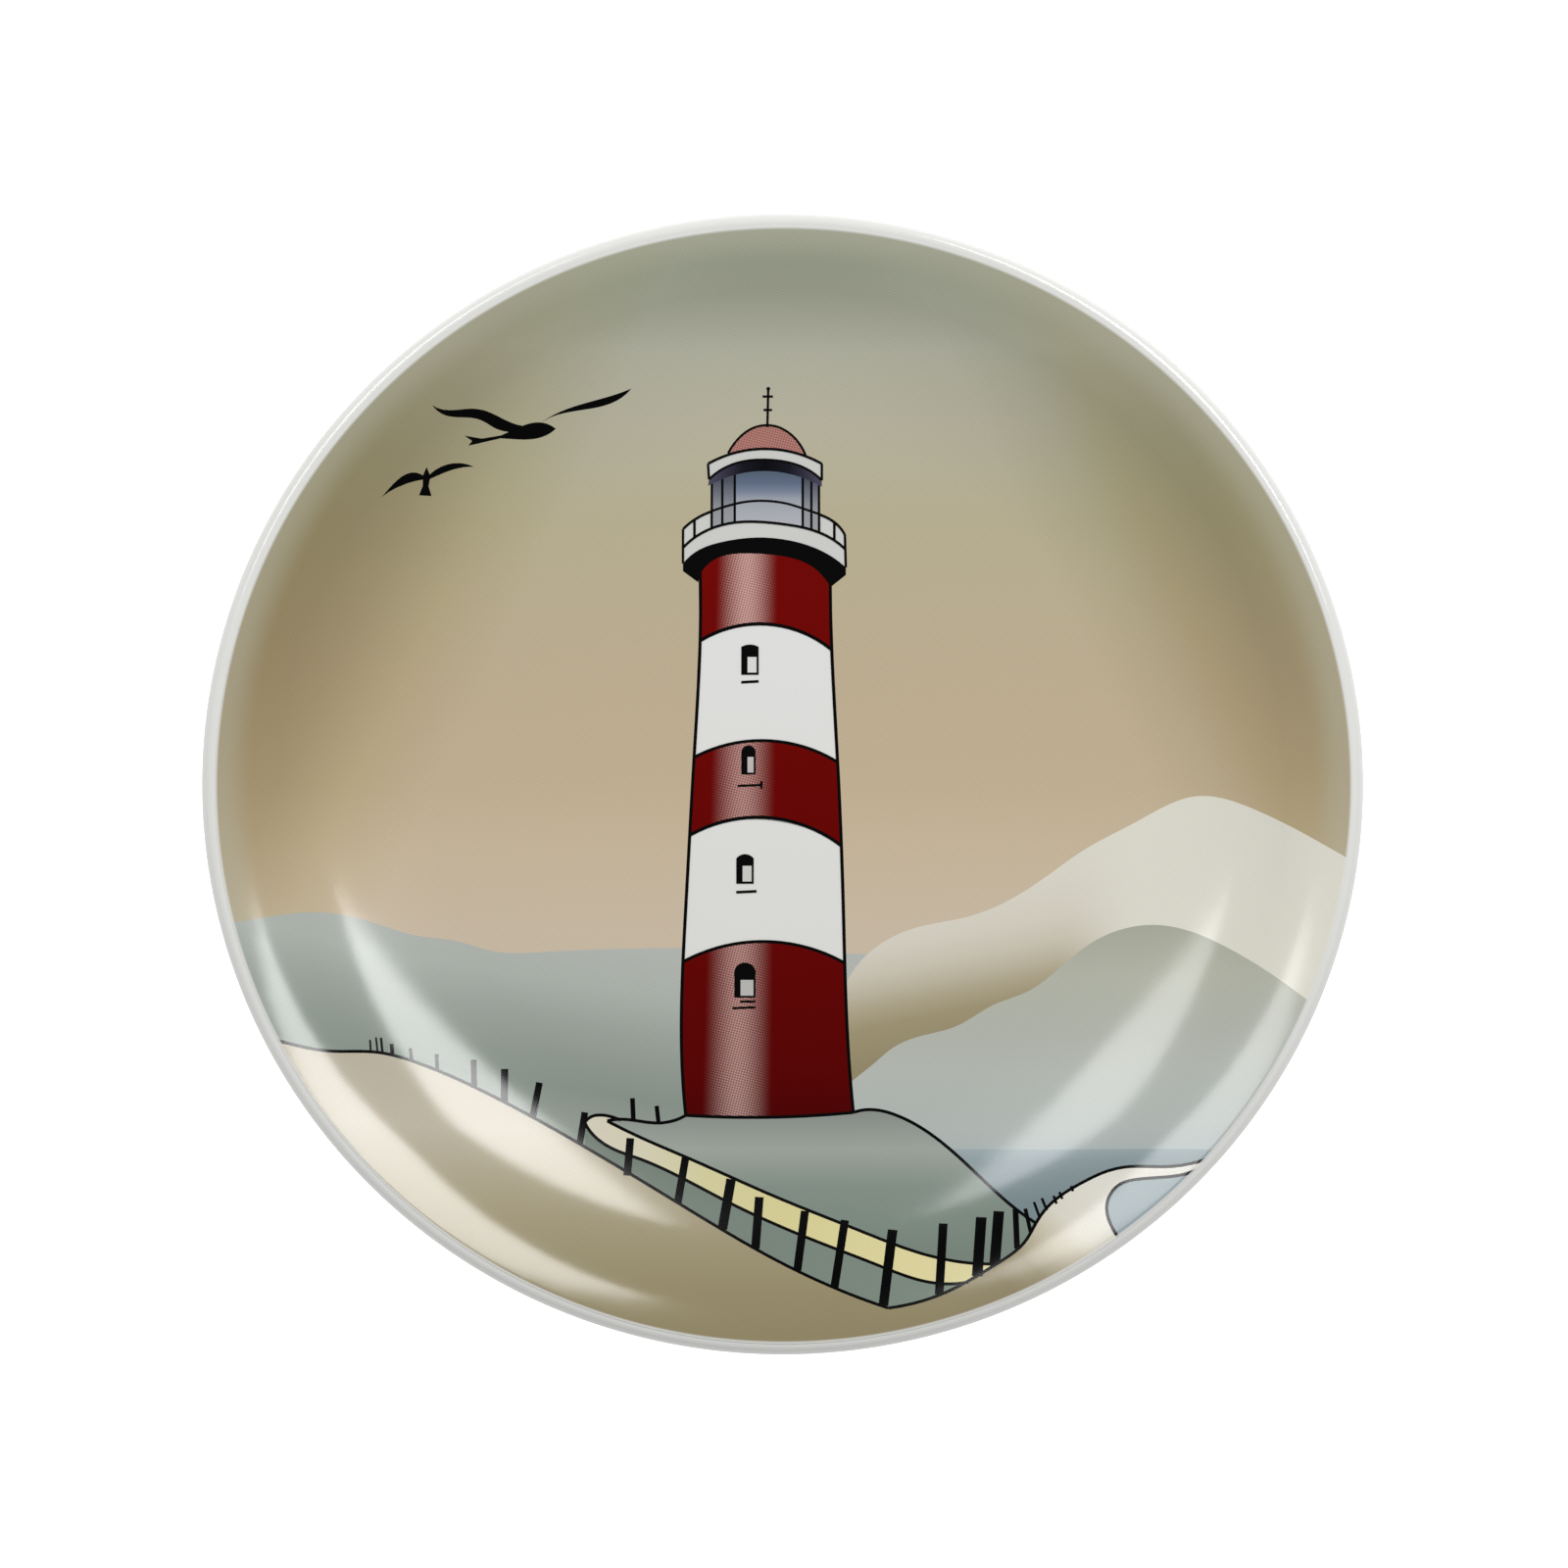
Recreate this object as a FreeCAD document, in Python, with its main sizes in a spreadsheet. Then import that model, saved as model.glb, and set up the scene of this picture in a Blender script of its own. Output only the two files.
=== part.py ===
import FreeCAD, Part
import math
import os
import Sketcher
from FreeCAD import Vector

# A small round souvenir plate of glazed porcelain with a fired picture of a lighthouse among dunes.
# +Z is the plate's axis and points out of its face, +Y points to the top of the picture, and the
# origin is the centre of the foot ring's standing face. All sizes are millimetres.

doc = FreeCAD.newDocument("souvenir_plate")

# ---------------------------------------------------------------- driving dimensions

SIZES = {
    "plate_diameter": 120.0,        # over the lip
    "well_radius": 36.6,            # where the flat well ends
    "bend_radius": 52.2,            # where the wall's hollow curve turns into its crowned curve
    "wall_slope": 28.0,             # degrees, steepest slope of the wall
    "brim_slope": 13.0,             # degrees, slope where the wall meets the lip
    "lip_round": 1.15,              # radius of the rounded lip
    "floor_height": 6.0,            # well floor above the standing face
    "floor_thickness": 3.8,         # inside the foot ring
    "underside_round": 44.0,        # hollow curve under the wall
    "foot_outer_radius": 34.5,
    "foot_inner_radius": 31.8,
    "foot_edge_round": 0.6,         # rounded edges of the standing face
    "foot_fillet": 1.6,             # foot ring to underside of the wall
    "recess_fillet": 1.2,           # foot ring to underside of the floor
    "glaze_thickness": 0.2,
    "glaze_stop": 0.9,              # height at which the glaze ends above the standing face
    "ink_thickness": 0.08,          # top of the printed colours above the glaze
    "ink_lift": 0.001,              # keeps the printed colours from cutting into the glaze
    "print_radius": 58.7,
    "print_shift_x": 0.1,           # the transfer sits slightly off the plate's centre
    "print_shift_y": -0.35,
    "ink_limit_radius": 59.6,       # farthest that ink could lie, on the crown of the lip
    "line_width": 0.34,             # drawn lines
    "detail_line_width": 0.26,      # finer lines on the tower's head
}

sheet = doc.addObject("Spreadsheet::Sheet", "Sizes")
for row, (alias, value) in enumerate(SIZES.items(), start=1):
    sheet.set("A%d" % row, alias)
    sheet.set("B%d" % row, str(value))
    sheet.setAlias("B%d" % row, alias)
doc.recompute()


def size(alias):
    """The number a sheet cell holds."""
    return float(sheet.get(alias))


# ---------------------------------------------------------------- profile sketches

WALL_FOOT_ROUND = "(Sizes.bend_radius - Sizes.well_radius) / sin(Sizes.wall_slope * 1deg)"
LIP_START = "(Sizes.plate_diameter / 2 - Sizes.lip_round * (1 + sin(Sizes.brim_slope * 1deg)))"
WALL_TOP_ROUND = (
    "(" + LIP_START + " - Sizes.bend_radius)"
    " / (sin(Sizes.wall_slope * 1deg) - sin(Sizes.brim_slope * 1deg))"
)


class Surface:
    """The glazed surface of the plate, or a surface parallel to it, in half section.

    depth is the distance below the glazed surface, and depth_text says the same with sheet cells.
    """

    def __init__(self, depth, depth_text):
        wall = math.radians(size("wall_slope"))
        brim = math.radians(size("brim_slope"))
        self.depth = depth
        self.depth_text = depth_text
        self.wall_up = Vector(-math.sin(wall), math.cos(wall), 0)
        self.brim_up = Vector(-math.sin(brim), math.cos(brim), 0)
        lip_round = size("lip_round")
        lip_start = size("plate_diameter") / 2 - lip_round * (1 + math.sin(brim))
        foot_round = (size("bend_radius") - size("well_radius")) / math.sin(wall)
        top_round = (lip_start - size("bend_radius")) / (math.sin(wall) - math.sin(brim))
        self.foot_centre = Vector(size("well_radius"), size("floor_height") + foot_round, 0)
        self.foot_round = foot_round + depth
        self.top_centre = self.foot_centre - self.wall_up * (foot_round + top_round)
        self.top_round = top_round - depth
        self.lip_centre = self.top_centre + self.brim_up * (top_round - lip_round)
        self.lip_round = lip_round - depth
        self.brim_under_round = top_round - 2 * lip_round + depth
        self.under_round = size("underside_round") - depth
        bend_under = self.top_centre + self.wall_up * self.brim_under_round
        self.under_centre = bend_under + self.wall_up * self.under_round
        self.foot_outer = size("foot_outer_radius") - depth
        self.foot_inner = size("foot_inner_radius") + depth
        self.fillet_round = size("foot_fillet") + depth
        fillet_x = self.foot_outer + self.fillet_round
        reach = self.under_round + self.fillet_round
        drop = math.sqrt(reach**2 - (fillet_x - self.under_centre.x) ** 2)
        self.fillet_centre = Vector(fillet_x, self.under_centre.y - drop, 0)


class Profile:
    """Adds lines, arcs and constraints to one sketch, with constraint values bound to the sheet."""

    def __init__(self, body, name):
        plane = [f for f in body.Origin.OriginFeatures if f.Role == "XZ_Plane"][0]
        self.sketch = body.newObject("Sketcher::SketchObject", name)
        self.sketch.AttachmentSupport = (plane, [""])
        self.sketch.MapMode = "FlatFace"

    def line(self, start, end):
        return self.sketch.addGeometry(Part.LineSegment(start, end), False)

    def arc(self, centre, radius, start_degrees, end_degrees):
        circle = Part.Circle(centre, Vector(0, 0, 1), radius)
        arc = Part.ArcOfCircle(circle, math.radians(start_degrees), math.radians(end_degrees))
        return self.sketch.addGeometry(arc, False)

    def rule(self, *terms):
        return self.sketch.addConstraint(Sketcher.Constraint(*terms))

    def value(self, text, *terms):
        """A constraint whose value is the sheet expression text."""
        index = self.rule(*terms)
        self.sketch.setExpression("Constraints[%d]" % index, text)

    def radius(self, geometry, value, text):
        self.value(text, "Radius", geometry, value)

    def across(self, geometry, point, value, text):
        self.value(text, "DistanceX", -1, 1, geometry, point, value)

    def height(self, geometry, point, value, text):
        self.value(text, "DistanceY", -1, 1, geometry, point, value)


START, END, CENTRE = 1, 2, 3
X_AXIS, Y_AXIS = -1, -2


def direction_degrees(vector):
    return math.degrees(math.atan2(vector.y, vector.x))


def draw_face(profile, surface):
    """The well floor and the wall up to the lip. Returns the floor line and the wall's top arc."""
    wall = size("wall_slope")
    brim = size("brim_slope")
    depth = surface.depth
    text = surface.depth_text
    floor = profile.line(
        Vector(0, size("floor_height") - depth, 0),
        Vector(size("well_radius"), size("floor_height") - depth, 0),
    )
    foot = profile.arc(surface.foot_centre, surface.foot_round, -90, wall - 90)
    top = profile.arc(surface.top_centre, surface.top_round, 90 + brim, 90 + wall)
    profile.rule("PointOnObject", floor, START, Y_AXIS)
    profile.rule("Horizontal", floor)
    profile.height(floor, START, size("floor_height") - depth, "Sizes.floor_height - " + text)
    profile.across(floor, END, size("well_radius"), "Sizes.well_radius")
    profile.rule("Tangent", floor, END, foot, START)
    profile.radius(foot, surface.foot_round, WALL_FOOT_ROUND + " + " + text)
    bend_x = size("bend_radius") - depth * surface.wall_up.x
    profile.across(foot, END, bend_x, "Sizes.bend_radius + (" + text + ") * sin(Sizes.wall_slope * 1deg)")
    profile.rule("Tangent", foot, END, top, END)
    profile.radius(top, surface.top_round, WALL_TOP_ROUND + " - " + text)
    brim_x = surface.top_centre.x + surface.brim_up.x * surface.top_round
    profile.across(top, START, brim_x, LIP_START + " + (" + text + ") * sin(Sizes.brim_slope * 1deg)")
    return floor, top


def draw_outside(profile, surface, top):
    """The lip, the underside of the wall and the foot ring's outer side. Returns that side's line."""
    wall = size("wall_slope")
    brim = size("brim_slope")
    depth = surface.depth
    text = surface.depth_text
    toward_fillet = surface.fillet_centre - surface.under_centre
    fillet_degrees = direction_degrees(toward_fillet)
    lip = profile.arc(surface.lip_centre, surface.lip_round, brim - 90, brim + 90)
    brim_under = profile.arc(surface.top_centre, surface.brim_under_round, 90 + brim, 90 + wall)
    under = profile.arc(surface.under_centre, surface.under_round, fillet_degrees, wall - 90)
    fillet = profile.arc(surface.fillet_centre, surface.fillet_round, fillet_degrees + 180, 180)
    side_top = Vector(surface.foot_outer, surface.fillet_centre.y, 0)
    side = profile.line(side_top, Vector(surface.foot_outer, size("glaze_stop"), 0))
    profile.rule("Tangent", top, START, lip, END)
    profile.radius(lip, surface.lip_round, "Sizes.lip_round - " + text)
    profile.rule("Coincident", brim_under, CENTRE, top, CENTRE)
    profile.rule("Tangent", lip, START, brim_under, START)
    bend_x = surface.top_centre.x + surface.wall_up.x * surface.brim_under_round
    profile.across(
        brim_under,
        END,
        bend_x,
        "Sizes.bend_radius + (2 * Sizes.lip_round - " + text + ") * sin(Sizes.wall_slope * 1deg)",
    )
    profile.rule("Tangent", brim_under, END, under, END)
    profile.radius(under, surface.under_round, "Sizes.underside_round - " + text)
    profile.rule("Tangent", under, START, fillet, START)
    profile.radius(fillet, surface.fillet_round, "Sizes.foot_fillet + " + text)
    profile.rule("Tangent", fillet, END, side, START)
    profile.rule("Vertical", side)
    profile.across(side, END, size("foot_outer_radius") - depth, "Sizes.foot_outer_radius - " + text)
    return side


def draw_recess(profile, surface, bottom):
    """The foot ring's inner side and the underside of the floor. Returns the side and the ceiling."""
    fillet_round = size("recess_fillet")
    recess = size("floor_height") - size("floor_thickness")
    ceiling_height = recess + surface.depth
    text = surface.depth_text
    side = profile.line(
        Vector(surface.foot_inner, bottom, 0), Vector(surface.foot_inner, recess - fillet_round, 0)
    )
    centre = Vector(size("foot_inner_radius") - fillet_round, recess - fillet_round, 0)
    fillet = profile.arc(centre, fillet_round + surface.depth, 0, 90)
    ceiling = profile.line(Vector(centre.x, ceiling_height, 0), Vector(0, ceiling_height, 0))
    profile.rule("Vertical", side)
    profile.across(side, START, surface.foot_inner, "Sizes.foot_inner_radius + " + text)
    profile.rule("Tangent", side, END, fillet, START)
    profile.radius(fillet, fillet_round + surface.depth, "Sizes.recess_fillet + " + text)
    profile.rule("Tangent", fillet, END, ceiling, START)
    profile.rule("Horizontal", ceiling)
    profile.rule("PointOnObject", ceiling, END, Y_AXIS)
    profile.height(
        ceiling, END, ceiling_height, "Sizes.floor_height - Sizes.floor_thickness + " + text
    )
    return side, ceiling


def join(profile, first, first_point, second, second_point):
    """A straight line between two free ends."""
    start = profile.sketch.getPoint(first, first_point)
    end = profile.sketch.getPoint(second, second_point)
    line = profile.line(start, end)
    profile.rule("Coincident", line, START, first, first_point)
    profile.rule("Coincident", line, END, second, second_point)
    return line


def revolve(body, profile, name):
    """Turns the profile a full circle about the plate's axis."""
    turned = body.newObject("PartDesign::Revolution", name)
    turned.Profile = profile.sketch
    turned.ReferenceAxis = (profile.sketch, ["V_Axis"])
    turned.Angle = 360
    body.Tip = turned
    return turned


GLAZED = Surface(0.0, "0")
BISQUE = Surface(size("glaze_thickness"), "Sizes.glaze_thickness")
LAID = Surface(-size("ink_lift"), "(0 - Sizes.ink_lift)")
INKED = Surface(-size("ink_thickness"), "(0 - Sizes.ink_thickness)")
SHELL_STEPS = 24                    # steps along each arc of the ink's section


def make_porcelain_body():
    """The fired clay under the glaze, with its foot ring in one piece with it."""
    body = doc.addObject("PartDesign::Body", "porcelain_body")
    profile = Profile(body, "porcelain_profile")
    floor, top = draw_face(profile, BISQUE)
    outer_side = draw_outside(profile, BISQUE, top)
    edge = size("foot_edge_round")
    outer_edge = profile.arc(Vector(BISQUE.foot_outer - edge, edge, 0), edge, -90, 0)
    inner_edge = profile.arc(Vector(BISQUE.foot_inner + edge, edge, 0), edge, 180, 270)
    standing = profile.line(
        Vector(BISQUE.foot_outer - edge, 0, 0), Vector(BISQUE.foot_inner + edge, 0, 0)
    )
    inner_side, ceiling = draw_recess(profile, BISQUE, edge)
    profile.rule("Tangent", outer_side, END, outer_edge, END)
    profile.radius(outer_edge, edge, "Sizes.foot_edge_round")
    profile.rule("Tangent", outer_edge, START, standing, START)
    profile.rule("Horizontal", standing)
    profile.rule("PointOnObject", standing, START, X_AXIS)
    profile.rule("Tangent", standing, END, inner_edge, END)
    profile.radius(inner_edge, edge, "Sizes.foot_edge_round")
    profile.rule("Tangent", inner_edge, START, inner_side, START)
    join(profile, ceiling, END, floor, START)
    revolve(body, profile, "porcelain_turned")
    return body


def make_face_glaze():
    """The glaze over the face, the lip and the outside, down to the bare standing edge."""
    body = doc.addObject("PartDesign::Body", "face_glaze")
    profile = Profile(body, "face_glaze_profile")
    outer_floor, outer_top = draw_face(profile, GLAZED)
    outer_side = draw_outside(profile, GLAZED, outer_top)
    inner_floor, inner_top = draw_face(profile, BISQUE)
    inner_side = draw_outside(profile, BISQUE, inner_top)
    profile.height(outer_side, END, size("glaze_stop"), "Sizes.glaze_stop")
    stop = join(profile, outer_side, END, inner_side, END)
    profile.rule("Horizontal", stop)
    join(profile, outer_floor, START, inner_floor, START)
    revolve(body, profile, "face_glaze_turned")
    return body


def make_underside_glaze():
    """The glaze inside the foot ring."""
    body = doc.addObject("PartDesign::Body", "underside_glaze")
    profile = Profile(body, "underside_glaze_profile")
    outer_side, outer_ceiling = draw_recess(profile, GLAZED, size("glaze_stop"))
    inner_side, inner_ceiling = draw_recess(profile, BISQUE, size("glaze_stop"))
    profile.height(outer_side, START, size("glaze_stop"), "Sizes.glaze_stop")
    stop = join(profile, outer_side, START, inner_side, START)
    profile.rule("Horizontal", stop)
    join(profile, outer_ceiling, END, inner_ceiling, END)
    revolve(body, profile, "underside_glaze_turned")
    return body


def arc_points(centre, radius, first_degrees, last_degrees):
    """Evenly spaced points along an arc of the half section, which stands in the XZ plane."""
    step = (last_degrees - first_degrees) / SHELL_STEPS
    angles = [math.radians(first_degrees + step * index) for index in range(SHELL_STEPS + 1)]
    return [Vector(centre.x + radius * math.cos(a), 0, centre.y + radius * math.sin(a)) for a in angles]


def face_line(surface):
    """The half section of the face from the plate's axis to the farthest ink: a line and a smooth curve."""
    wall = size("wall_slope")
    brim = size("brim_slope")
    reach = (size("ink_limit_radius") - surface.lip_centre.x) / surface.lip_round
    points = arc_points(surface.foot_centre, surface.foot_round, -90, wall - 90)
    points += arc_points(surface.top_centre, surface.top_round, 90 + wall, 90 + brim)[1:]
    limit_degrees = math.degrees(math.acos(reach))
    points += arc_points(surface.lip_centre, surface.lip_round, 90 + brim, limit_degrees)[1:]
    wall_curve = Part.BSplineCurve()
    wall_curve.interpolate(points)
    axis_point = Vector(0, 0, points[0].z)
    return [Part.makeLine(axis_point, points[0]), wall_curve.toShape()], axis_point, points[-1]


def make_ink_shell():
    """The thin space on the glazed face in which every printed colour lies, turned about the axis.

    Its wall is one smooth surface, so that an outline crosses no seam between arcs.
    """
    lower, lower_axis, lower_end = face_line(LAID)
    upper, upper_axis, upper_end = face_line(INKED)
    ends = [Part.makeLine(lower_axis, upper_axis), Part.makeLine(lower_end, upper_end)]
    section = Part.Face(Part.Wire(Part.__sortEdges__(lower + upper + ends)))
    shell = doc.addObject("Part::Feature", "ink_shell")
    shell.Shape = section.revolve(Vector(0, 0, 0), Vector(0, 0, 1), 360)
    return shell


# ---------------------------------------------------------------- plan outlines of the picture

# Points are plan positions on the plate, in millimetres from its axis, +Y to the top of the picture.

OUTSIDE = 70.0                      # plan distance that lies well outside the plate
SLIVER = 0.02                       # square millimetres, a scrap too small to be printed
CURVE_STATIONS = 9                  # fewest places along a drawn line at which its width is set out
STATION_GAP = 2.2                   # their usual distance along a long line

# Skylines and ground lines, each from left to right.
FAR_LAND = [(-62, -15.9), (-54.2, -14.9), (-46.7, -13.7), (-43, -14.3), (-38, -15.7), (-33.5, -16.3)]
FAR_LAND += [(-30, -17.3), (-25, -17.4), (-10, -17), (8, -17.6), (14, -17.8)]
PALE_DUNE = [(6, -22.5), (8.6, -17.8), (13, -15.1), (19.5, -13.6), (27, -9.7), (31.5, -6.5), (36.5, -3.8)]
PALE_DUNE += [(43, -1.1), (48, -2.4), (62, -10.5)]
GREEN_HILL = [(5, -34), (7.2, -30.9), (9.3, -29.2), (11.3, -27.5), (14.3, -26.2), (17.9, -25.2)]
GREEN_HILL += [(21.9, -22.9), (25, -21.7), (32, -16.4), (38.5, -14.6), (45, -16.8), (62, -29)]
SEA = [(12, -38), (30, -38.4), (62, -40.2)]
MOUND_LEFT = [(-18.1, -35.1), (-15.5, -35), (-12.8, -35.3), (-10.8, -34.9), (-10, -34.5)]
MOUND_RIGHT = [(7.3, -34.2), (9.2, -33.9), (11.5, -34.4), (15.3, -36.5), (20, -40.8), (25.9, -46.3)]
PATH_TIP = [(-20.4, -35.3), (-19.8, -34.7), (-17.9, -34.6), (-16.7, -35)]
PATH_TOP = [(-18.1, -35.1), (-14.7, -36.8), (-9.7, -39), (-0.9, -43), (8, -46.8), (15.6, -49.8)]
PATH_TOP += [(21.5, -50.7)]
PATH_FOOT = [(-20.4, -35.3), (-18, -37.8), (-15, -39), (-6.3, -43.3), (3, -47.7), (9.8, -50.6)]
PATH_FOOT += [(14, -52.3), (19, -52.6)]
SAND_LEFT = [(-62, -27.4), (-52, -27.7), (-46.6, -28.6), (-41.8, -28.4), (-38, -29.2), (-31.8, -31.7)]
SAND_LEFT += [(-21.2, -37.4), (-10.9, -43.7), (1.4, -51.1), (10.8, -55.3)]
SAND_RIGHT = [(10.8, -55.3), (16.4, -53.8), (22.2, -50.5), (24.7, -48.5), (26.4, -45.6), (31.5, -41.7)]
SAND_RIGHT += [(34.2, -40.7), (39.8, -40.7), (42.5, -40.3), (48, -37)]
POOL = [(48, -39.3), (42.7, -41), (41.4, -41.5), (35.6, -42.1), (34.2, -42.7), (33.2, -44.7)]
POOL += [(33.6, -46.8), (36.5, -50.5)]

# The tower's sides, from the gallery down to the mound.
SHAFT_LEFT = [(-8.7, 25), (-8.6, 15.3), (-9.2, 3.2), (-10, -12), (-10.3, -31), (-10, -34.5)]
SHAFT_RIGHT = [(5, 25), (5.1, 15), (5.7, 3), (6.3, -13), (6.6, -24), (7.3, -34.2)]

# Lines across the tower, from left to right. The shaft's lines run a little past its sides.
ROOF_TOP = [(-7.8, 34.4), (-1.8, 36), (4.1, 34.4)]
ROOF_FOOT = [(-7.7, 32.7), (-4.3, 34.6), (-1.4, 34.8), (1.7, 34.2), (4.1, 32.6)]
SHADOW_FOOT = [(-7.8, 32), (-1.8, 33.6), (4.1, 31.9)]
DOME_TOP = [(-5.7, 35.5), (-4.6, 37.1), (-3.1, 38.2), (-1.6, 38.5), (-0.2, 38.2), (1.3, 37.1), (2.4, 35.3)]
RAIL = [(-10.4, 27.4), (-9.1, 28.5), (-7.4, 29.3), (-4.5, 30.2), (0.5, 30.1), (3.7, 29), (5.4, 28.2)]
RAIL += [(6.2, 27.5), (6.5, 26.8)]
GALLERY_TOP = [(-10.4, 25.4), (-9.2, 26.5), (-7.4, 27.5), (-5.1, 28.1), (-0.4, 28), (3.7, 27.1), (6.5, 25.3)]
GALLERY_FOOT = [(-10.4, 23.7), (-8.5, 25.3), (-6, 26.1), (-2.8, 26.5), (0.1, 26.3), (3.1, 25.5), (6.6, 23.3)]
GALLERY_UNDER = [(-8.8, 21.7), (-8.4, 22.9), (-7, 24.2), (-3.5, 24.8), (0, 24.5), (2.9, 23.5), (4.4, 22.1)]
GALLERY_UNDER += [(5, 21.2)]
FIRST_LINE = [(-9.6, 14.8), (-2, 17.3), (6.1, 13.6)]
SECOND_LINE = [(-10.4, 2.4), (-2.2, 4.9), (6.6, 2)]
THIRD_LINE = [(-10.6, -5.7), (-2.2, -3.2), (6.8, -6.8)]
FOURTH_LINE = [(-11.1, -18.9), (-2, -16.3), (7.3, -19.1)]
BASE_LINE = [(-10, -34.5), (-1.5, -34.7), (7.3, -34.2)]
LANTERN_BARS = [-7.4, -6.3, -5, 2.1, 3, 3.8]
RAIL_POSTS = [-9.2, 5.4]

# Windows: left, right, top, foot, and how far the head arches up.
WINDOWS = [
    (-4.3, -2.5, 15.1, 11.9, 0.25),
    (-4.3, -2.8, 4.4, 1.3, 0.7),
    (-4.8, -3, -7.1, -10.2, 0.45),
    (-5, -2.8, -18.5, -22.2, 1.4),
]
PANE_INSET_LEFT = 0.65
PANE_INSET = 0.22
PANE_TALL = 1.65
SILLS = [((-4.3, 11.1), (-2.5, 11.2)), ((-4.7, 0.1), (-2.1, 0.2)), ((-2.2, 0.6), (-2.2, -0.2))]
SILLS += [((-4.8, -11.1), (-2.7, -11)), ((-4.4, -22.6), (-2.8, -22.6)), ((-5.2, -23.3), (-2.8, -23.2))]

# Posts: foot, head, width.
FENCE_POSTS = [
    ((-20.9, -37.5), (-20.4, -34.2), 0.7),
    ((-16, -40.9), (-15.7, -36.9), 0.8),
    ((-10.8, -43.8), (-10, -38.9), 0.8),
    ((-6.2, -46.6), (-5.3, -41.2), 1),
    ((-2.8, -48.7), (-2.4, -43.1), 0.9),
    ((1.5, -51.1), (2.3, -44.6), 0.85),
    ((5.3, -53), (6.4, -45.6), 0.85),
    ((10.3, -55), (11.3, -46.7), 1),
    ((16, -53.9), (16.5, -46.1), 0.9),
    ((19.9, -52), (20.4, -45.5), 1.1),
    ((21.7, -50.7), (22.2, -44.9), 1.1),
    ((24, -49.1), (23.9, -44.7), 0.6),
    ((25.4, -47.3), (24.9, -44.7), 0.4),
]
FAR_POSTS = [
    ((-15.4, -35), (-15.5, -32.7), 0.5),
    ((-12.8, -35.3), (-13, -33.5), 0.45),
    ((-42.4, -28.4), (-42.5, -27.1), 0.2),
    ((-41.7, -28.5), (-41.9, -26.8), 0.2),
    ((-41.2, -28.5), (-41.4, -26.8), 0.25),
    ((-40.2, -28.6), (-40.3, -27.4), 0.4),
    ((-38.2, -29.2), (-38.4, -27.8), 0.35),
    ((-35.6, -30.1), (-35.7, -28.3), 0.4),
    ((-31.8, -31.8), (-31.9, -28.8), 0.6),
    ((-28.7, -33.2), (-28.7, -29.7), 0.75),
    ((-25.8, -34.9), (-25.1, -31.1), 0.7),
    ((26.3, -45.6), (25.8, -44), 0.28),
    ((27.1, -45), (26.6, -43.6), 0.28),
    ((28.1, -44.3), (27.8, -43.4), 0.28),
    ((28.7, -43.8), (28.4, -43), 0.28),
    ((29.8, -43), (29.6, -42.4), 0.28),
]


def at(point):
    return Vector(point[0], point[1], 0)


def curve(points):
    """A smooth line through the points."""
    spline = Part.BSplineCurve()
    spline.interpolate([at(p) for p in points])
    return spline.toShape()


def bow(points):
    """A line across the tower: an arc through three points, or a smooth line through more."""
    if len(points) > 3:
        return curve(points)
    left, middle, right = points
    return Part.Arc(at(left), at(middle), at(right)).toShape()


def straight(*points):
    """The straight lines from each point to the next."""
    return [Part.makeLine(at(a), at(b)) for a, b in zip(points, points[1:])]


def area(*edges):
    """The flat face inside a closed run of edges, facing up."""
    level = Part.Plane(Vector(0, 0, 0), Vector(0, 0, 1))
    return Part.Face(level, Part.Wire(Part.__sortEdges__(list(edges))))


def merged(faces):
    """The faces joined into one shape with no seams where they overlap."""
    if len(faces) == 1:
        return faces[0]
    pieces = faces[0].fuse(faces[1:]).Faces
    return Part.makeCompound(Part.makeShell(pieces).removeSplitter().Faces)


def stroke(edge, width):
    """The face of a drawn line: the edge given a width, with square ends."""
    is_straight = isinstance(edge.Curve, Part.Line)
    count = 2 if is_straight else max(CURVE_STATIONS, round(edge.Length / STATION_GAP))
    first, last = edge.ParameterRange
    left = []
    right = []
    for step in range(count):
        parameter = first + (last - first) * step / (count - 1)
        ahead = edge.tangentAt(parameter)
        across = Vector(-ahead.y, ahead.x, 0) * (width / 2)
        left.append(edge.valueAt(parameter) + across)
        right.append(edge.valueAt(parameter) - across)
    sides = [straight(*side)[0] if is_straight else curve(side) for side in (left, right)]
    return area(*sides, *straight(left[0], right[0]), *straight(left[-1], right[-1]))


def drawn(edges, width):
    return [stroke(edge, width) for edge in edges]


def bar(foot, head, width):
    """A straight bar from foot to head."""
    return stroke(straight(foot, head)[0], width)


def ground(edges, start, end):
    """The area from a skyline down past the bottom of the plate."""
    return area(*edges, *straight(end, (end[0], -OUTSIDE), (start[0], -OUTSIDE), start))


def between(upper, lower):
    """The area between two lines across the tower."""
    return area(bow(upper), bow(lower), *straight(upper[0], lower[0]), *straight(upper[-1], lower[-1]))


def leaf(start, upper, end, lower):
    """A shape with a point at each end and a smooth line through some points on either side."""
    return area(curve([start, *upper, end]), curve([start, *lower, end]))


def polygon(*points):
    return area(*straight(*points, points[0]))


def rectangle(left, right, foot, top):
    return polygon((left, foot), (right, foot), (right, top), (left, top))


def path_area():
    edges = [curve(PATH_TIP), curve(PATH_TOP), curve(PATH_FOOT)]
    edges += straight(PATH_TIP[-1], PATH_TOP[0])
    edges += straight(PATH_TOP[-1], PATH_FOOT[-1])
    return area(*edges)


def mound_edges():
    return [curve(MOUND_LEFT), *straight(MOUND_LEFT[-1], MOUND_RIGHT[0]), curve(MOUND_RIGHT)]


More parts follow.
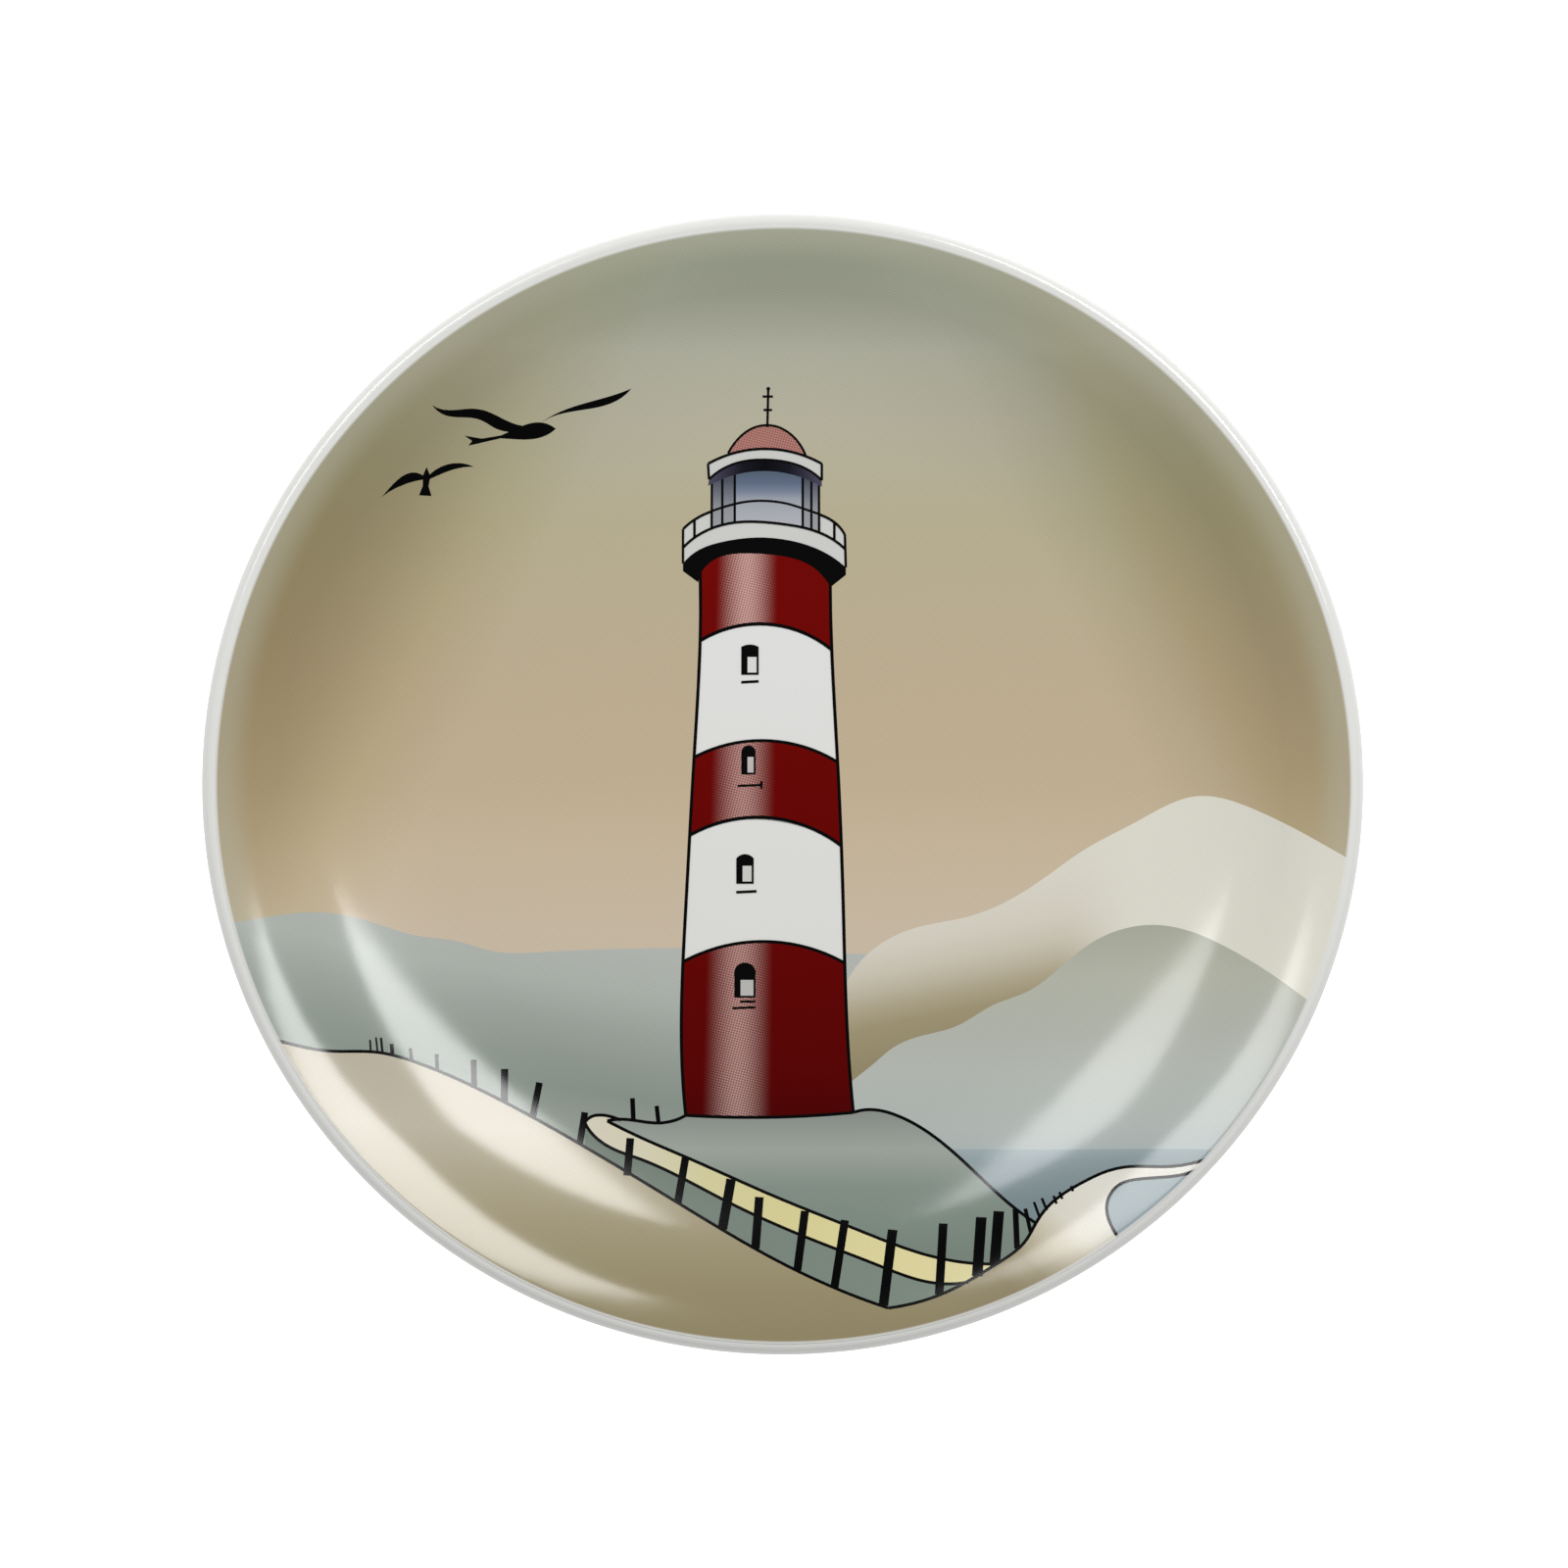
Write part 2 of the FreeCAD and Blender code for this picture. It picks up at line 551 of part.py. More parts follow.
def pool_area():
    corner_left = (POOL[-1][0], -OUTSIDE)
    corner_right = (OUTSIDE, POOL[0][1])
    return area(curve(POOL), *straight(POOL[-1], corner_left, (OUTSIDE, -OUTSIDE), corner_right, POOL[0]))


def shaft_area():
    top = straight(SHAFT_LEFT[0], SHAFT_RIGHT[0])
    return area(curve(SHAFT_LEFT), curve(SHAFT_RIGHT), *top, bow(BASE_LINE))


def red_band(upper, lower):
    """The part of the tower's shaft between two lines across it."""
    return shaft_area().common(between(upper, lower))


def lowest_band():
    """The part of the tower's shaft below the lowest line across it."""
    left, _, right = FOURTH_LINE
    box = straight(left, (left[0], -OUTSIDE), (right[0], -OUTSIDE), right)
    return shaft_area().common(area(bow(FOURTH_LINE), *box))


def lantern_area():
    left, right = LANTERN_BARS[0], LANTERN_BARS[-1]
    return rectangle(left, right, GALLERY_TOP[0][1], ROOF_TOP[0][1])


def gallery_black():
    """The dark underside of the gallery, down to the top of the shaft."""
    left, right = GALLERY_FOOT[0], GALLERY_FOOT[-1]
    skirt = 0.8
    left_run = straight(left, (left[0], left[1] - skirt), GALLERY_UNDER[0])
    right_run = straight(right, (right[0], right[1] - skirt), GALLERY_UNDER[-1])
    return area(bow(GALLERY_FOOT), bow(GALLERY_UNDER), *left_run, *right_run)


def dome_area():
    return area(bow(DOME_TOP), *straight(DOME_TOP[0], DOME_TOP[-1]))


def tower_lines():
    """The outlines of the shaft, the gallery, the lantern, the roof edge and the dome."""
    heavy = size("line_width")
    fine = size("detail_line_width")
    sides = drawn([curve(SHAFT_LEFT), curve(SHAFT_RIGHT)], heavy)
    shaft_sides = merged(sides).cut(between(GALLERY_TOP, GALLERY_FOOT))
    rings = drawn([bow(line) for line in (FIRST_LINE, SECOND_LINE, THIRD_LINE, FOURTH_LINE)], heavy)
    shaft_rings = merged(rings).common(shaft_area())
    bars = [bar((x, GALLERY_FOOT[0][1]), (x, ROOF_TOP[0][1]), fine) for x in LANTERN_BARS]
    lantern_bars = merged(bars).common(between(SHADOW_FOOT, GALLERY_TOP))
    posts = [bar((x, GALLERY_FOOT[0][1]), (x, ROOF_FOOT[0][1]), fine) for x in RAIL_POSTS]
    rail_posts = merged(posts).common(between(RAIL, GALLERY_TOP))
    outlines = [bow(line) for line in (RAIL, GALLERY_TOP, ROOF_TOP, ROOF_FOOT, DOME_TOP)]
    for upper, lower in ((ROOF_TOP, ROOF_FOOT), (RAIL, GALLERY_FOOT)):
        outlines += straight(upper[0], lower[0]) + straight(upper[-1], lower[-1])
    base = stroke(bow(BASE_LINE), heavy)
    parts = [shaft_sides, shaft_rings, base, lantern_bars, rail_posts, gallery_black()]
    return merged(parts + drawn(outlines, fine))


def finial():
    """The spike on the dome with two short cross bars and a small ball."""
    fine = size("detail_line_width")
    ball = area(Part.makeCircle(fine * 0.8, at((-1.5, 42.3))))
    strokes = straight((-1.6, 38.3), (-1.5, 42.4)) + straight((-2.1, 41.5), (-1, 41.5))
    strokes += straight((-2, 40.1), (-1.1, 40.1))
    return merged(drawn(strokes, fine) + [ball])


def window_shape(left, right, top, foot, rise):
    spring = top - rise
    head = bow(((left, spring), ((left + right) / 2, top), (right, spring)))
    return area(head, *straight((left, spring), (left, foot), (right, foot), (right, spring)))


def pane_shape(left, right, top, foot, rise):
    pane_foot = foot + PANE_INSET
    return rectangle(left + PANE_INSET_LEFT, right - PANE_INSET, pane_foot, pane_foot + PANE_TALL)


def window_panes():
    return merged([pane_shape(*window) for window in WINDOWS])


def windows():
    """The dark window openings, each round its pale pane, and the sills below them."""
    openings = [window_shape(*window) for window in WINDOWS]
    sills = drawn([straight(*ends)[0] for ends in SILLS], size("detail_line_width"))
    return merged(openings + sills).cut(window_panes())


def landscape_lines():
    """The lines drawn along the mound, the path, the near sand and the pool."""
    runs = [MOUND_LEFT, MOUND_RIGHT, PATH_TIP, PATH_TOP, PATH_FOOT, SAND_LEFT, SAND_RIGHT, POOL]
    return merged(drawn([curve(run) for run in runs], size("line_width")))


def posts(table):
    return merged([bar(foot, head, width) for foot, head, width in table])


def large_gull():
    """A gull that glides to the right with raised wings and a forked tail."""
    over_left = [(-35.1, 39.2), (-32.6, 39.5), (-31, 39.4), (-29.2, 38.7)]
    under_left = [(-34.8, 38.6), (-32.5, 38.6), (-31.4, 38.4), (-30, 37.7), (-28.6, 37.4)]
    over_right = [(-22.4, 40), (-18.6, 41.2)]
    under_right = [(-22, 39.7), (-18.3, 40.5)]
    left_wing = leaf((-36.5, 39.6), over_left, (-26, 38.2), under_left)
    right_wing = leaf((-25.7, 38.1), over_right, (-15.8, 42.2), under_right)
    torso = leaf((-31, 36.6), [(-28.4, 37.5), (-25.4, 38.5)], (-23.7, 37.9), [(-28.6, 36.7), (-25.9, 36.8)])
    tail = polygon((-29.5, 37), (-31.4, 36.6), (-33.2, 36.8), (-32.4, 36.3), (-32.8, 35.8), (-29.5, 36.7))
    return merged([left_wing, right_wing, torso, tail])


def small_gull():
    """A gull seen from behind, farther off."""
    over_left = [(-40.3, 31.7), (-38.8, 32.7)]
    under_left = [(-40, 31.2), (-38.6, 31.8)]
    over_right = [(-36.3, 33.1), (-34.6, 33.9)]
    under_right = [(-36, 32.6), (-34.4, 33.3)]
    left_wing = leaf((-41.8, 30), over_left, (-37, 32.2), under_left)
    right_wing = leaf((-37.4, 31.9), over_right, (-32.2, 33.7), under_right)
    right_side = [(-36.7, 32.5), (-36.9, 31.5), (-36.6, 30.5)]
    left_side = [(-37.9, 30.5), (-37.5, 31.5), (-37.5, 32.5)]
    torso = polygon((-37.1, 33.4), *right_side, *left_side)
    return merged([left_wing, right_wing, torso])


def print_area():
    """The round transfer that carries the whole picture."""
    centre = at((size("print_shift_x"), size("print_shift_y")))
    return area(Part.makeCircle(size("print_radius"), centre))


BARE = None                         # an area of the transfer without any colour: the white glaze shows


def picture_layers():
    """Every area of the picture with its sub-part's name, from the back of the scene to the front."""
    tower = merged([shaft_area(), between(RAIL, GALLERY_FOOT)])
    return [
        ("sky_decal", print_area()),
        ("far_land_decal", ground([curve(FAR_LAND)], FAR_LAND[0], FAR_LAND[-1])),
        ("pale_dune_decal", ground([curve(PALE_DUNE)], PALE_DUNE[0], PALE_DUNE[-1])),
        ("green_hill_decal", ground([curve(GREEN_HILL)], GREEN_HILL[0], GREEN_HILL[-1])),
        ("sea_decal", ground([curve(SEA)], SEA[0], SEA[-1])),
        ("mound_decal", ground(mound_edges(), MOUND_LEFT[0], MOUND_RIGHT[-1])),
        ("bank_decal", ground([curve(PATH_FOOT)], PATH_FOOT[0], PATH_FOOT[-1])),
        ("path_decal", path_area()),
        ("near_sand_decal", ground([curve(SAND_LEFT), curve(SAND_RIGHT)], SAND_LEFT[0], SAND_RIGHT[-1])),
        ("pool_decal", pool_area()),
        (BARE, tower),
        ("dome_decal", dome_area()),
        ("lantern_decal", lantern_area()),
        ("roof_shadow_decal", between(ROOF_FOOT, SHADOW_FOOT)),
        (BARE, between(ROOF_TOP, ROOF_FOOT)),
        (BARE, between(GALLERY_TOP, GALLERY_FOOT)),
        ("upper_red_band_decal", red_band(GALLERY_UNDER, FIRST_LINE)),
        ("middle_red_band_decal", red_band(SECOND_LINE, THIRD_LINE)),
        ("lower_red_band_decal", lowest_band()),
        ("window_pane_decal", window_panes()),
        ("landscape_line_decal", landscape_lines()),
        ("tower_line_decal", tower_lines()),
        ("finial_decal", finial()),
        ("window_decal", windows()),
        ("fence_post_decal", posts(FENCE_POSTS)),
        ("far_post_decal", posts(FAR_POSTS)),
        ("large_gull_decal", large_gull()),
        ("small_gull_decal", small_gull()),
    ]


# ---------------------------------------------------------------- printed colours as thin solids


def seen_area(layers, index):
    """What is left of one layer inside the transfer once everything in front of it is cut away."""
    in_front = [shape for _, shape in layers[index + 1:]]
    seen = layers[index][1].common(print_area())
    if in_front:
        seen = seen.cut(in_front)
    return Part.makeCompound([face for face in seen.Faces if face.Area > SLIVER])


def add_ink(label, plan_shape, shell):
    """One printed colour: its plan area raised through the ink shell, and the part inside the shell."""
    plan = doc.addObject("Part::Feature", label + "_plan")
    plan.Shape = plan_shape
    column = doc.addObject("Part::Extrusion", label + "_column")
    column.Base = plan
    column.DirMode = "Custom"
    column.Dir = Vector(0, 0, 1)
    column.Solid = True
    column.setExpression("LengthFwd", "3 * Sizes.floor_height")
    ink = doc.addObject("Part::Common", label)
    ink.Base = column
    ink.Tool = shell
    return ink


def make_inks(shell):
    layers = picture_layers()
    named = [(index, label) for index, (label, _) in enumerate(layers) if label is not BARE]
    return [add_ink(label, seen_area(layers, index), shell) for index, label in named]


# ---------------------------------------------------------------- building, checking and writing


def check_states():
    """Stops if the document holds an object that failed to compute."""
    for item in doc.Objects:
        bad = [state for state in item.State if state in ("Invalid", "Error")]
        if bad:
            raise RuntimeError("%s is %s" % (item.Label, bad))


def check_subpart(item):
    shape = item.Shape
    if shape.isNull() or not shape.isValid() or not shape.Solids:
        raise RuntimeError("%s has no valid solid" % item.Label)


def main():
    porcelain = make_porcelain_body()
    coats = [make_face_glaze(), make_underside_glaze()]
    shell = make_ink_shell()
    doc.recompute()
    subparts = [porcelain, *coats, *make_inks(shell)]
    doc.recompute()
    check_states()
    os.makedirs("parts", exist_ok=True)
    for item in subparts:
        item.Placement = FreeCAD.Placement()
        check_subpart(item)
    for item in subparts:
        item.Shape.exportStep(os.path.join("parts", item.Label + ".step"))


main()
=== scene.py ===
import math

import bpy
import numpy as np
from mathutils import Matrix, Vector
from mathutils.geometry import delaunay_2d_cdt


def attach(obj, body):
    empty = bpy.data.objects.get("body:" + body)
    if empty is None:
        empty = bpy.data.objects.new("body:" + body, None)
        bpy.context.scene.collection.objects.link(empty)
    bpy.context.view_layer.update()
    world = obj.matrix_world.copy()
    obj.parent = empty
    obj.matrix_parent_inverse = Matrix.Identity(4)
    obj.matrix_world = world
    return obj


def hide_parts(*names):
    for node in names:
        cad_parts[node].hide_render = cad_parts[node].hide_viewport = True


# The souvenir plate's looks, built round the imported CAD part. Lengths are millimetres until a mesh is made.

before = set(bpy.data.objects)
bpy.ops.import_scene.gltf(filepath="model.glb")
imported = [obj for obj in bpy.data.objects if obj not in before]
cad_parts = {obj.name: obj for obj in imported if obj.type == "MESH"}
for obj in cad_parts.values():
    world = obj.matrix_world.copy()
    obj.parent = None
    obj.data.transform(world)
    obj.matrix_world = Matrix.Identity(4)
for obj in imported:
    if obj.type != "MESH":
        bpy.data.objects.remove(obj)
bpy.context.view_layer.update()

MM = 0.001

# ---------------------------------------------------------------- sizes, as in the CAD source

RIM_RADIUS = 60.0
WELL_RADIUS = 36.6
BEND_RADIUS = 52.2
WALL_SLOPE = math.radians(28.0)
BRIM_SLOPE = math.radians(13.0)
LIP_ROUND = 1.15
FLOOR_HEIGHT = 6.0
FLOOR_THICKNESS = 3.8
UNDERSIDE_ROUND = 44.0
FOOT_OUTER_RADIUS = 34.5
FOOT_INNER_RADIUS = 31.8
FOOT_EDGE_ROUND = 0.6
FOOT_FILLET = 1.6
RECESS_FILLET = 1.2
GLAZE_THICKNESS = 0.2
GLAZE_STOP = 0.9
INK_THICKNESS = 0.08
INK_LIFT = 0.001
PRINT_RADIUS = 58.7
PRINT_CENTRE = np.array([0.1, -0.35])

# ---------------------------------------------------------------- the plate's section

WALL_UP = np.array([-math.sin(WALL_SLOPE), math.cos(WALL_SLOPE)])
BRIM_UP = np.array([-math.sin(BRIM_SLOPE), math.cos(BRIM_SLOPE)])
LIP_START = RIM_RADIUS - LIP_ROUND * (1 + math.sin(BRIM_SLOPE))
WALL_FOOT_ROUND = (BEND_RADIUS - WELL_RADIUS) / math.sin(WALL_SLOPE)
WALL_TOP_ROUND = (LIP_START - BEND_RADIUS) / (math.sin(WALL_SLOPE) - math.sin(BRIM_SLOPE))
FOOT_CENTRE = np.array([WELL_RADIUS, FLOOR_HEIGHT + WALL_FOOT_ROUND])
TOP_CENTRE = FOOT_CENTRE - WALL_UP * (WALL_FOOT_ROUND + WALL_TOP_ROUND)
LIP_CENTRE = TOP_CENTRE + BRIM_UP * (WALL_TOP_ROUND - LIP_ROUND)
RECESS_HEIGHT = FLOOR_HEIGHT - FLOOR_THICKNESS
DEG = math.pi / 180


def arc_run(centre, radius, first, last, step, hollow):
    """Section points and outward normals along an arc from one angle to another.

    hollow means that the material lies outside the arc's circle.
    """
    count = max(3, math.ceil(radius * abs(last - first) / step) + 1)
    angles = np.linspace(first, last, count)
    ray = np.stack([np.cos(angles), np.sin(angles)], axis=1)
    return centre + radius * ray, (-ray if hollow else ray)


def line_run(start, end, step):
    """Section points and outward normals along a line with the material on its left."""
    start = np.array(start, float)
    end = np.array(end, float)
    length = np.linalg.norm(end - start)
    count = max(2, math.ceil(length / step) + 1)
    share = np.linspace(0, 1, count)[:, None]
    ahead = (end - start) / length
    normal = np.array([ahead[1], -ahead[0]])
    return start + (end - start) * share, np.repeat(normal[None], count, axis=0)


def backwards(runs):
    """The same section walked the other way, as the inner side of a coat."""
    return [(points[::-1], -normals[::-1]) for points, normals in runs[::-1]]


def outside_runs(depth):
    """Face, lip and outside of the wall, at a depth below the glazed surface, from the foot ring up."""
    top_round = WALL_TOP_ROUND - depth
    brim_under = WALL_TOP_ROUND - 2 * LIP_ROUND + depth
    under_round = UNDERSIDE_ROUND - depth
    fillet_round = FOOT_FILLET + depth
    foot_outer = FOOT_OUTER_RADIUS - depth
    under_centre = TOP_CENTRE + WALL_UP * (brim_under + under_round)
    fillet_x = foot_outer + fillet_round
    drop = math.sqrt((under_round + fillet_round) ** 2 - (fillet_x - under_centre[0]) ** 2)
    fillet_centre = np.array([fillet_x, under_centre[1] - drop])
    toward = fillet_centre - under_centre
    fillet_angle = math.atan2(toward[1], toward[0])
    floor_height = FLOOR_HEIGHT - depth
    right = math.pi / 2
    return [
        line_run((foot_outer, GLAZE_STOP), (foot_outer, fillet_centre[1]), 0.5),
        arc_run(fillet_centre, fillet_round, math.pi, fillet_angle + math.pi, 0.1, True),
        arc_run(under_centre, under_round, fillet_angle, WALL_SLOPE - right, 0.6, False),
        arc_run(TOP_CENTRE, brim_under, WALL_SLOPE + right, BRIM_SLOPE + right, 0.6, True),
        arc_run(LIP_CENTRE, LIP_ROUND - depth, BRIM_SLOPE - right, BRIM_SLOPE + right, 0.08, False),
        arc_run(TOP_CENTRE, top_round, BRIM_SLOPE + right, WALL_SLOPE + right, 0.5, False),
        arc_run(FOOT_CENTRE, WALL_FOOT_ROUND + depth, WALL_SLOPE - right, -right, 0.5, True),
        line_run((WELL_RADIUS, floor_height), (0, floor_height), 6),
    ]


def recess_runs(depth, foot):
    """The underside of the floor and the foot ring's inner side, from the axis to the foot."""
    inner = FOOT_INNER_RADIUS + depth
    centre = np.array([FOOT_INNER_RADIUS - RECESS_FILLET, RECESS_HEIGHT - RECESS_FILLET])
    ceiling = RECESS_HEIGHT + depth
    return [
        line_run((0, ceiling), (centre[0], ceiling), 6),
        arc_run(centre, RECESS_FILLET + depth, math.pi / 2, 0, 0.1, True),
        line_run((inner, centre[1]), (inner, foot), 0.5),
    ]


def body_runs():
    """The clay body's whole section."""
    inner = FOOT_INNER_RADIUS + GLAZE_THICKNESS
    outer = FOOT_OUTER_RADIUS - GLAZE_THICKNESS
    edge = FOOT_EDGE_ROUND
    inner_centre = np.array([inner + edge, edge])
    outer_centre = np.array([outer - edge, edge])
    return recess_runs(GLAZE_THICKNESS, edge) + [
        arc_run(inner_centre, edge, math.pi, 1.5 * math.pi, 0.06, False),
        line_run((inner + edge, 0), (outer - edge, 0), 0.5),
        arc_run(outer_centre, edge, -math.pi / 2, 0, 0.06, False),
        line_run((outer, edge), (outer, GLAZE_STOP), 0.5),
    ] + outside_runs(GLAZE_THICKNESS)


def face_glaze_runs():
    outer = outside_runs(0)
    inner = backwards(outside_runs(GLAZE_THICKNESS))
    stop = line_run(inner[-1][0][-1], outer[0][0][0], 0.5)
    return outer + inner + [stop]


def underside_glaze_runs():
    outer = recess_runs(0, GLAZE_STOP)
    inner = backwards(recess_runs(GLAZE_THICKNESS, GLAZE_STOP))
    stop = line_run(outer[-1][0][-1], inner[0][0][0], 0.5)
    return outer + [stop] + inner


# ---------------------------------------------------------------- meshes

TURN_STEPS = 576
ON_AXIS = 1e-6


def make_object(name, vertices, faces, corner_normals):
    """A smooth-shaded mesh object with a normal for each corner of each face."""
    mesh = bpy.data.meshes.new(name)
    mesh.from_pydata((vertices * MM).tolist(), [], faces)
    mesh.shade_smooth()
    mesh.normals_split_custom_set(corner_normals)
    mesh.validate()
    made = bpy.data.objects.new(name, mesh)
    bpy.context.scene.collection.objects.link(made)
    return made


def turned(name, runs):
    """The solid that a section makes when it turns about the plate's axis."""
    angles = np.arange(TURN_STEPS) * (2 * math.pi / TURN_STEPS)
    cosines = np.cos(angles)
    sines = np.sin(angles)
    rings = []
    vertices = []
    faces = []
    corners = []
    total = 0

    def ring(point):
        nonlocal total
        radius, height = point
        if radius < ON_AXIS:
            vertices.append(np.array([[0, 0, height]]))
            total += 1
            return np.full(TURN_STEPS, total - 1)
        vertices.append(np.stack([radius * cosines, radius * sines, np.full(TURN_STEPS, height)], axis=1))
        total += TURN_STEPS
        return np.arange(total - TURN_STEPS, total)

    def all_round(normal):
        return np.stack([normal[0] * cosines, normal[0] * sines, np.full(TURN_STEPS, normal[1])], axis=1)

    for points, _ in runs:
        for point in points[:-1]:
            rings.append(ring(point))
    if runs[-1][0][-1][0] < ON_AXIS:
        rings.append(ring(runs[-1][0][-1]))
    else:
        rings.append(rings[0])
    index = 0
    turn = list(range(1, TURN_STEPS)) + [0]
    for points, normals in runs:
        for step in range(len(points) - 1):
            low = rings[index]
            high = rings[index + 1]
            index += 1
            start_normals = all_round(normals[step])
            end_normals = all_round(normals[step + 1])
            for here, ahead in enumerate(turn):
                face = [low[here], low[ahead], high[ahead], high[here]]
                normal = [start_normals[here], start_normals[ahead], end_normals[ahead], end_normals[here]]
                if face[0] == face[1]:
                    face.pop(1)
                    normal.pop(1)
                elif face[2] == face[3]:
                    face.pop(2)
                    normal.pop(2)
                faces.append([int(vertex) for vertex in face])
                corners.extend(normal)
    return make_object(name, np.concatenate(vertices), faces, corners)


def face_surface(radius, lift):
    """Height, and slope as an angle, of the surface at a lift above the glazed face."""
    foot = WALL_FOOT_ROUND - lift
    top = WALL_TOP_ROUND + lift
    lip = LIP_ROUND + lift
    bend = BEND_RADIUS - lift * math.sin(WALL_SLOPE)
    brim = LIP_START - lift * math.sin(BRIM_SLOPE)
    on_foot = np.arcsin(np.clip((radius - FOOT_CENTRE[0]) / foot, 0, 1))
    on_top = np.arcsin(np.clip((TOP_CENTRE[0] - radius) / top, -1, 1))
    on_lip = np.arcsin(np.clip((LIP_CENTRE[0] - radius) / lip, -1, 1))
    slope = np.where(radius < bend, on_foot, np.where(radius < brim, on_top, on_lip))
    height = np.where(
        radius < bend,
        FOOT_CENTRE[1] - foot * np.cos(on_foot),
        np.where(
            radius < brim,
            TOP_CENTRE[1] + top * np.cos(on_top),
            LIP_CENTRE[1] + lip * np.cos(on_lip),
        ),
    )
    return height, slope


def laid_on_face(plan, lift):
    """Points of the plan put on the face, with the face's normals there."""
    radius = np.hypot(plan[:, 0], plan[:, 1])
    height, slope = face_surface(radius, lift)
    inward = np.sin(slope) / np.maximum(radius, ON_AXIS)
    points = np.column_stack([plan, height])
    normals = np.column_stack([-plan[:, 0] * inward, -plan[:, 1] * inward, np.cos(slope)])
    return points, normals


# ---------------------------------------------------------------- outlines of the printed colours

NODES = [
    "sky_decal",
    "far_land_decal",
    "pale_dune_decal",
    "green_hill_decal",
    "sea_decal",
    "mound_decal",
    "bank_decal",
    "path_decal",
    "near_sand_decal",
    "pool_decal",
    "dome_decal",
    "lantern_decal",
    "roof_shadow_decal",
    "upper_red_band_decal",
    "middle_red_band_decal",
    "lower_red_band_decal",
    "window_pane_decal",
    "landscape_line_decal",
    "tower_line_decal",
    "finial_decal",
    "window_decal",
    "fence_post_decal",
    "far_post_decal",
    "large_gull_decal",
    "small_gull_decal",
]
WELD = 1e-4                         # points closer than this are one point
OUTLINE_WELD = 0.012                # outlines of neighbours closer than this are one outline
SLIVER_WIDTH = 0.08                 # an uncovered strip narrower than this belongs to a neighbour
WALL_STEPS = 360                    # places round each circle on the wall
LIP_STEPS = 1440                    # places round each circle on the lip, and round the print's rim
RIM_GAP = 0.07                      # no place lies closer than this to the print's rim
ROWS_AT_ONCE = 400                  # places tested together against an outline


def triangle_edges(triangles):
    return np.concatenate([triangles[:, [0, 1]], triangles[:, [1, 2]], triangles[:, [2, 0]]])


def outline(node):
    """The ends, in plan, of each edge round the upper side of a packed film."""
    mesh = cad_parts[node].data
    mesh.calc_loop_triangles()
    points = np.array([vertex.co for vertex in mesh.vertices], float) / MM
    triangles = np.array([triangle.vertices for triangle in mesh.loop_triangles], int)
    cells = np.round(points / WELD).astype(int)
    _, first, same = np.unique(cells, axis=0, return_index=True, return_inverse=True)
    triangles = same.ravel()[triangles]
    points = points[first]
    a, b, c = (points[triangles[:, corner]] for corner in range(3))
    normals = np.cross(b - a, c - a)
    lengths = np.linalg.norm(normals, axis=1)
    upper = triangles[normals[:, 2] > 0.5 * lengths]
    edges = np.sort(triangle_edges(upper), axis=1)
    edges, uses = np.unique(edges, axis=0, return_counts=True)
    border = edges[uses == 1]
    return points[border][:, :, :2]


def inside(places, edges):
    """Whether each place lies inside the loops that the edges make."""
    found = np.zeros(len(places), bool)
    low = edges[:, :, 1].min(axis=1)
    high = edges[:, :, 1].max(axis=1)
    left = edges[:, :, 0].min()
    right = edges[:, :, 0].max()
    near = (places[:, 0] > left) & (places[:, 0] < right)
    near &= (places[:, 1] > low.min()) & (places[:, 1] < high.max())
    order = np.where(near)[0]
    order = order[np.argsort(places[order, 1])]
    for chunk in np.array_split(order, max(1, len(order) // ROWS_AT_ONCE)):
        if len(chunk) == 0:
            continue
        group = places[chunk]
        touched = edges[(high >= group[:, 1].min()) & (low <= group[:, 1].max())]
        start = touched[:, 0]
        end = touched[:, 1]
        above = group[:, 1][:, None]
        crosses = (start[:, 1] > above) != (end[:, 1] > above)
        rise = end[:, 1] - start[:, 1]
        rise = np.where(rise == 0, 1, rise)
        across = start[:, 0] + (above - start[:, 1]) * (end[:, 0] - start[:, 0]) / rise
        hits = crosses & (group[:, 0][:, None] < across)
        found[chunk] = hits.sum(axis=1) % 2 == 1
    return found


def circle_points(centre, radius, count):
    """Evenly spaced places on a circle of the plan."""
    angles = np.arange(count) * (2 * math.pi / count)
    return centre + radius * np.stack([np.cos(angles), np.sin(angles)], axis=1)


def steiner_points():
    """Places between the outlines at which the films follow the plate's curves."""
    axis = np.zeros(2)
    floor_radii = np.arange(0, WELL_RADIUS - 2, 4)
    wall_radii = np.arange(WELL_RADIUS, LIP_START - 0.4, 0.6)
    lip_radii = np.arange(LIP_START - 0.1, RIM_RADIUS - 0.5, 0.1)
    floor = [circle_points(axis, radius, int(12 + radius * 1.2)) for radius in floor_radii]
    wall = [circle_points(axis, radius, WALL_STEPS) for radius in wall_radii]
    lip = [circle_points(axis, radius, LIP_STEPS) for radius in lip_radii]
    places = np.concatenate(floor + wall + lip)
    from_print = np.linalg.norm(places - PRINT_CENTRE, axis=1)
    return places[from_print < PRINT_RADIUS - RIM_GAP]


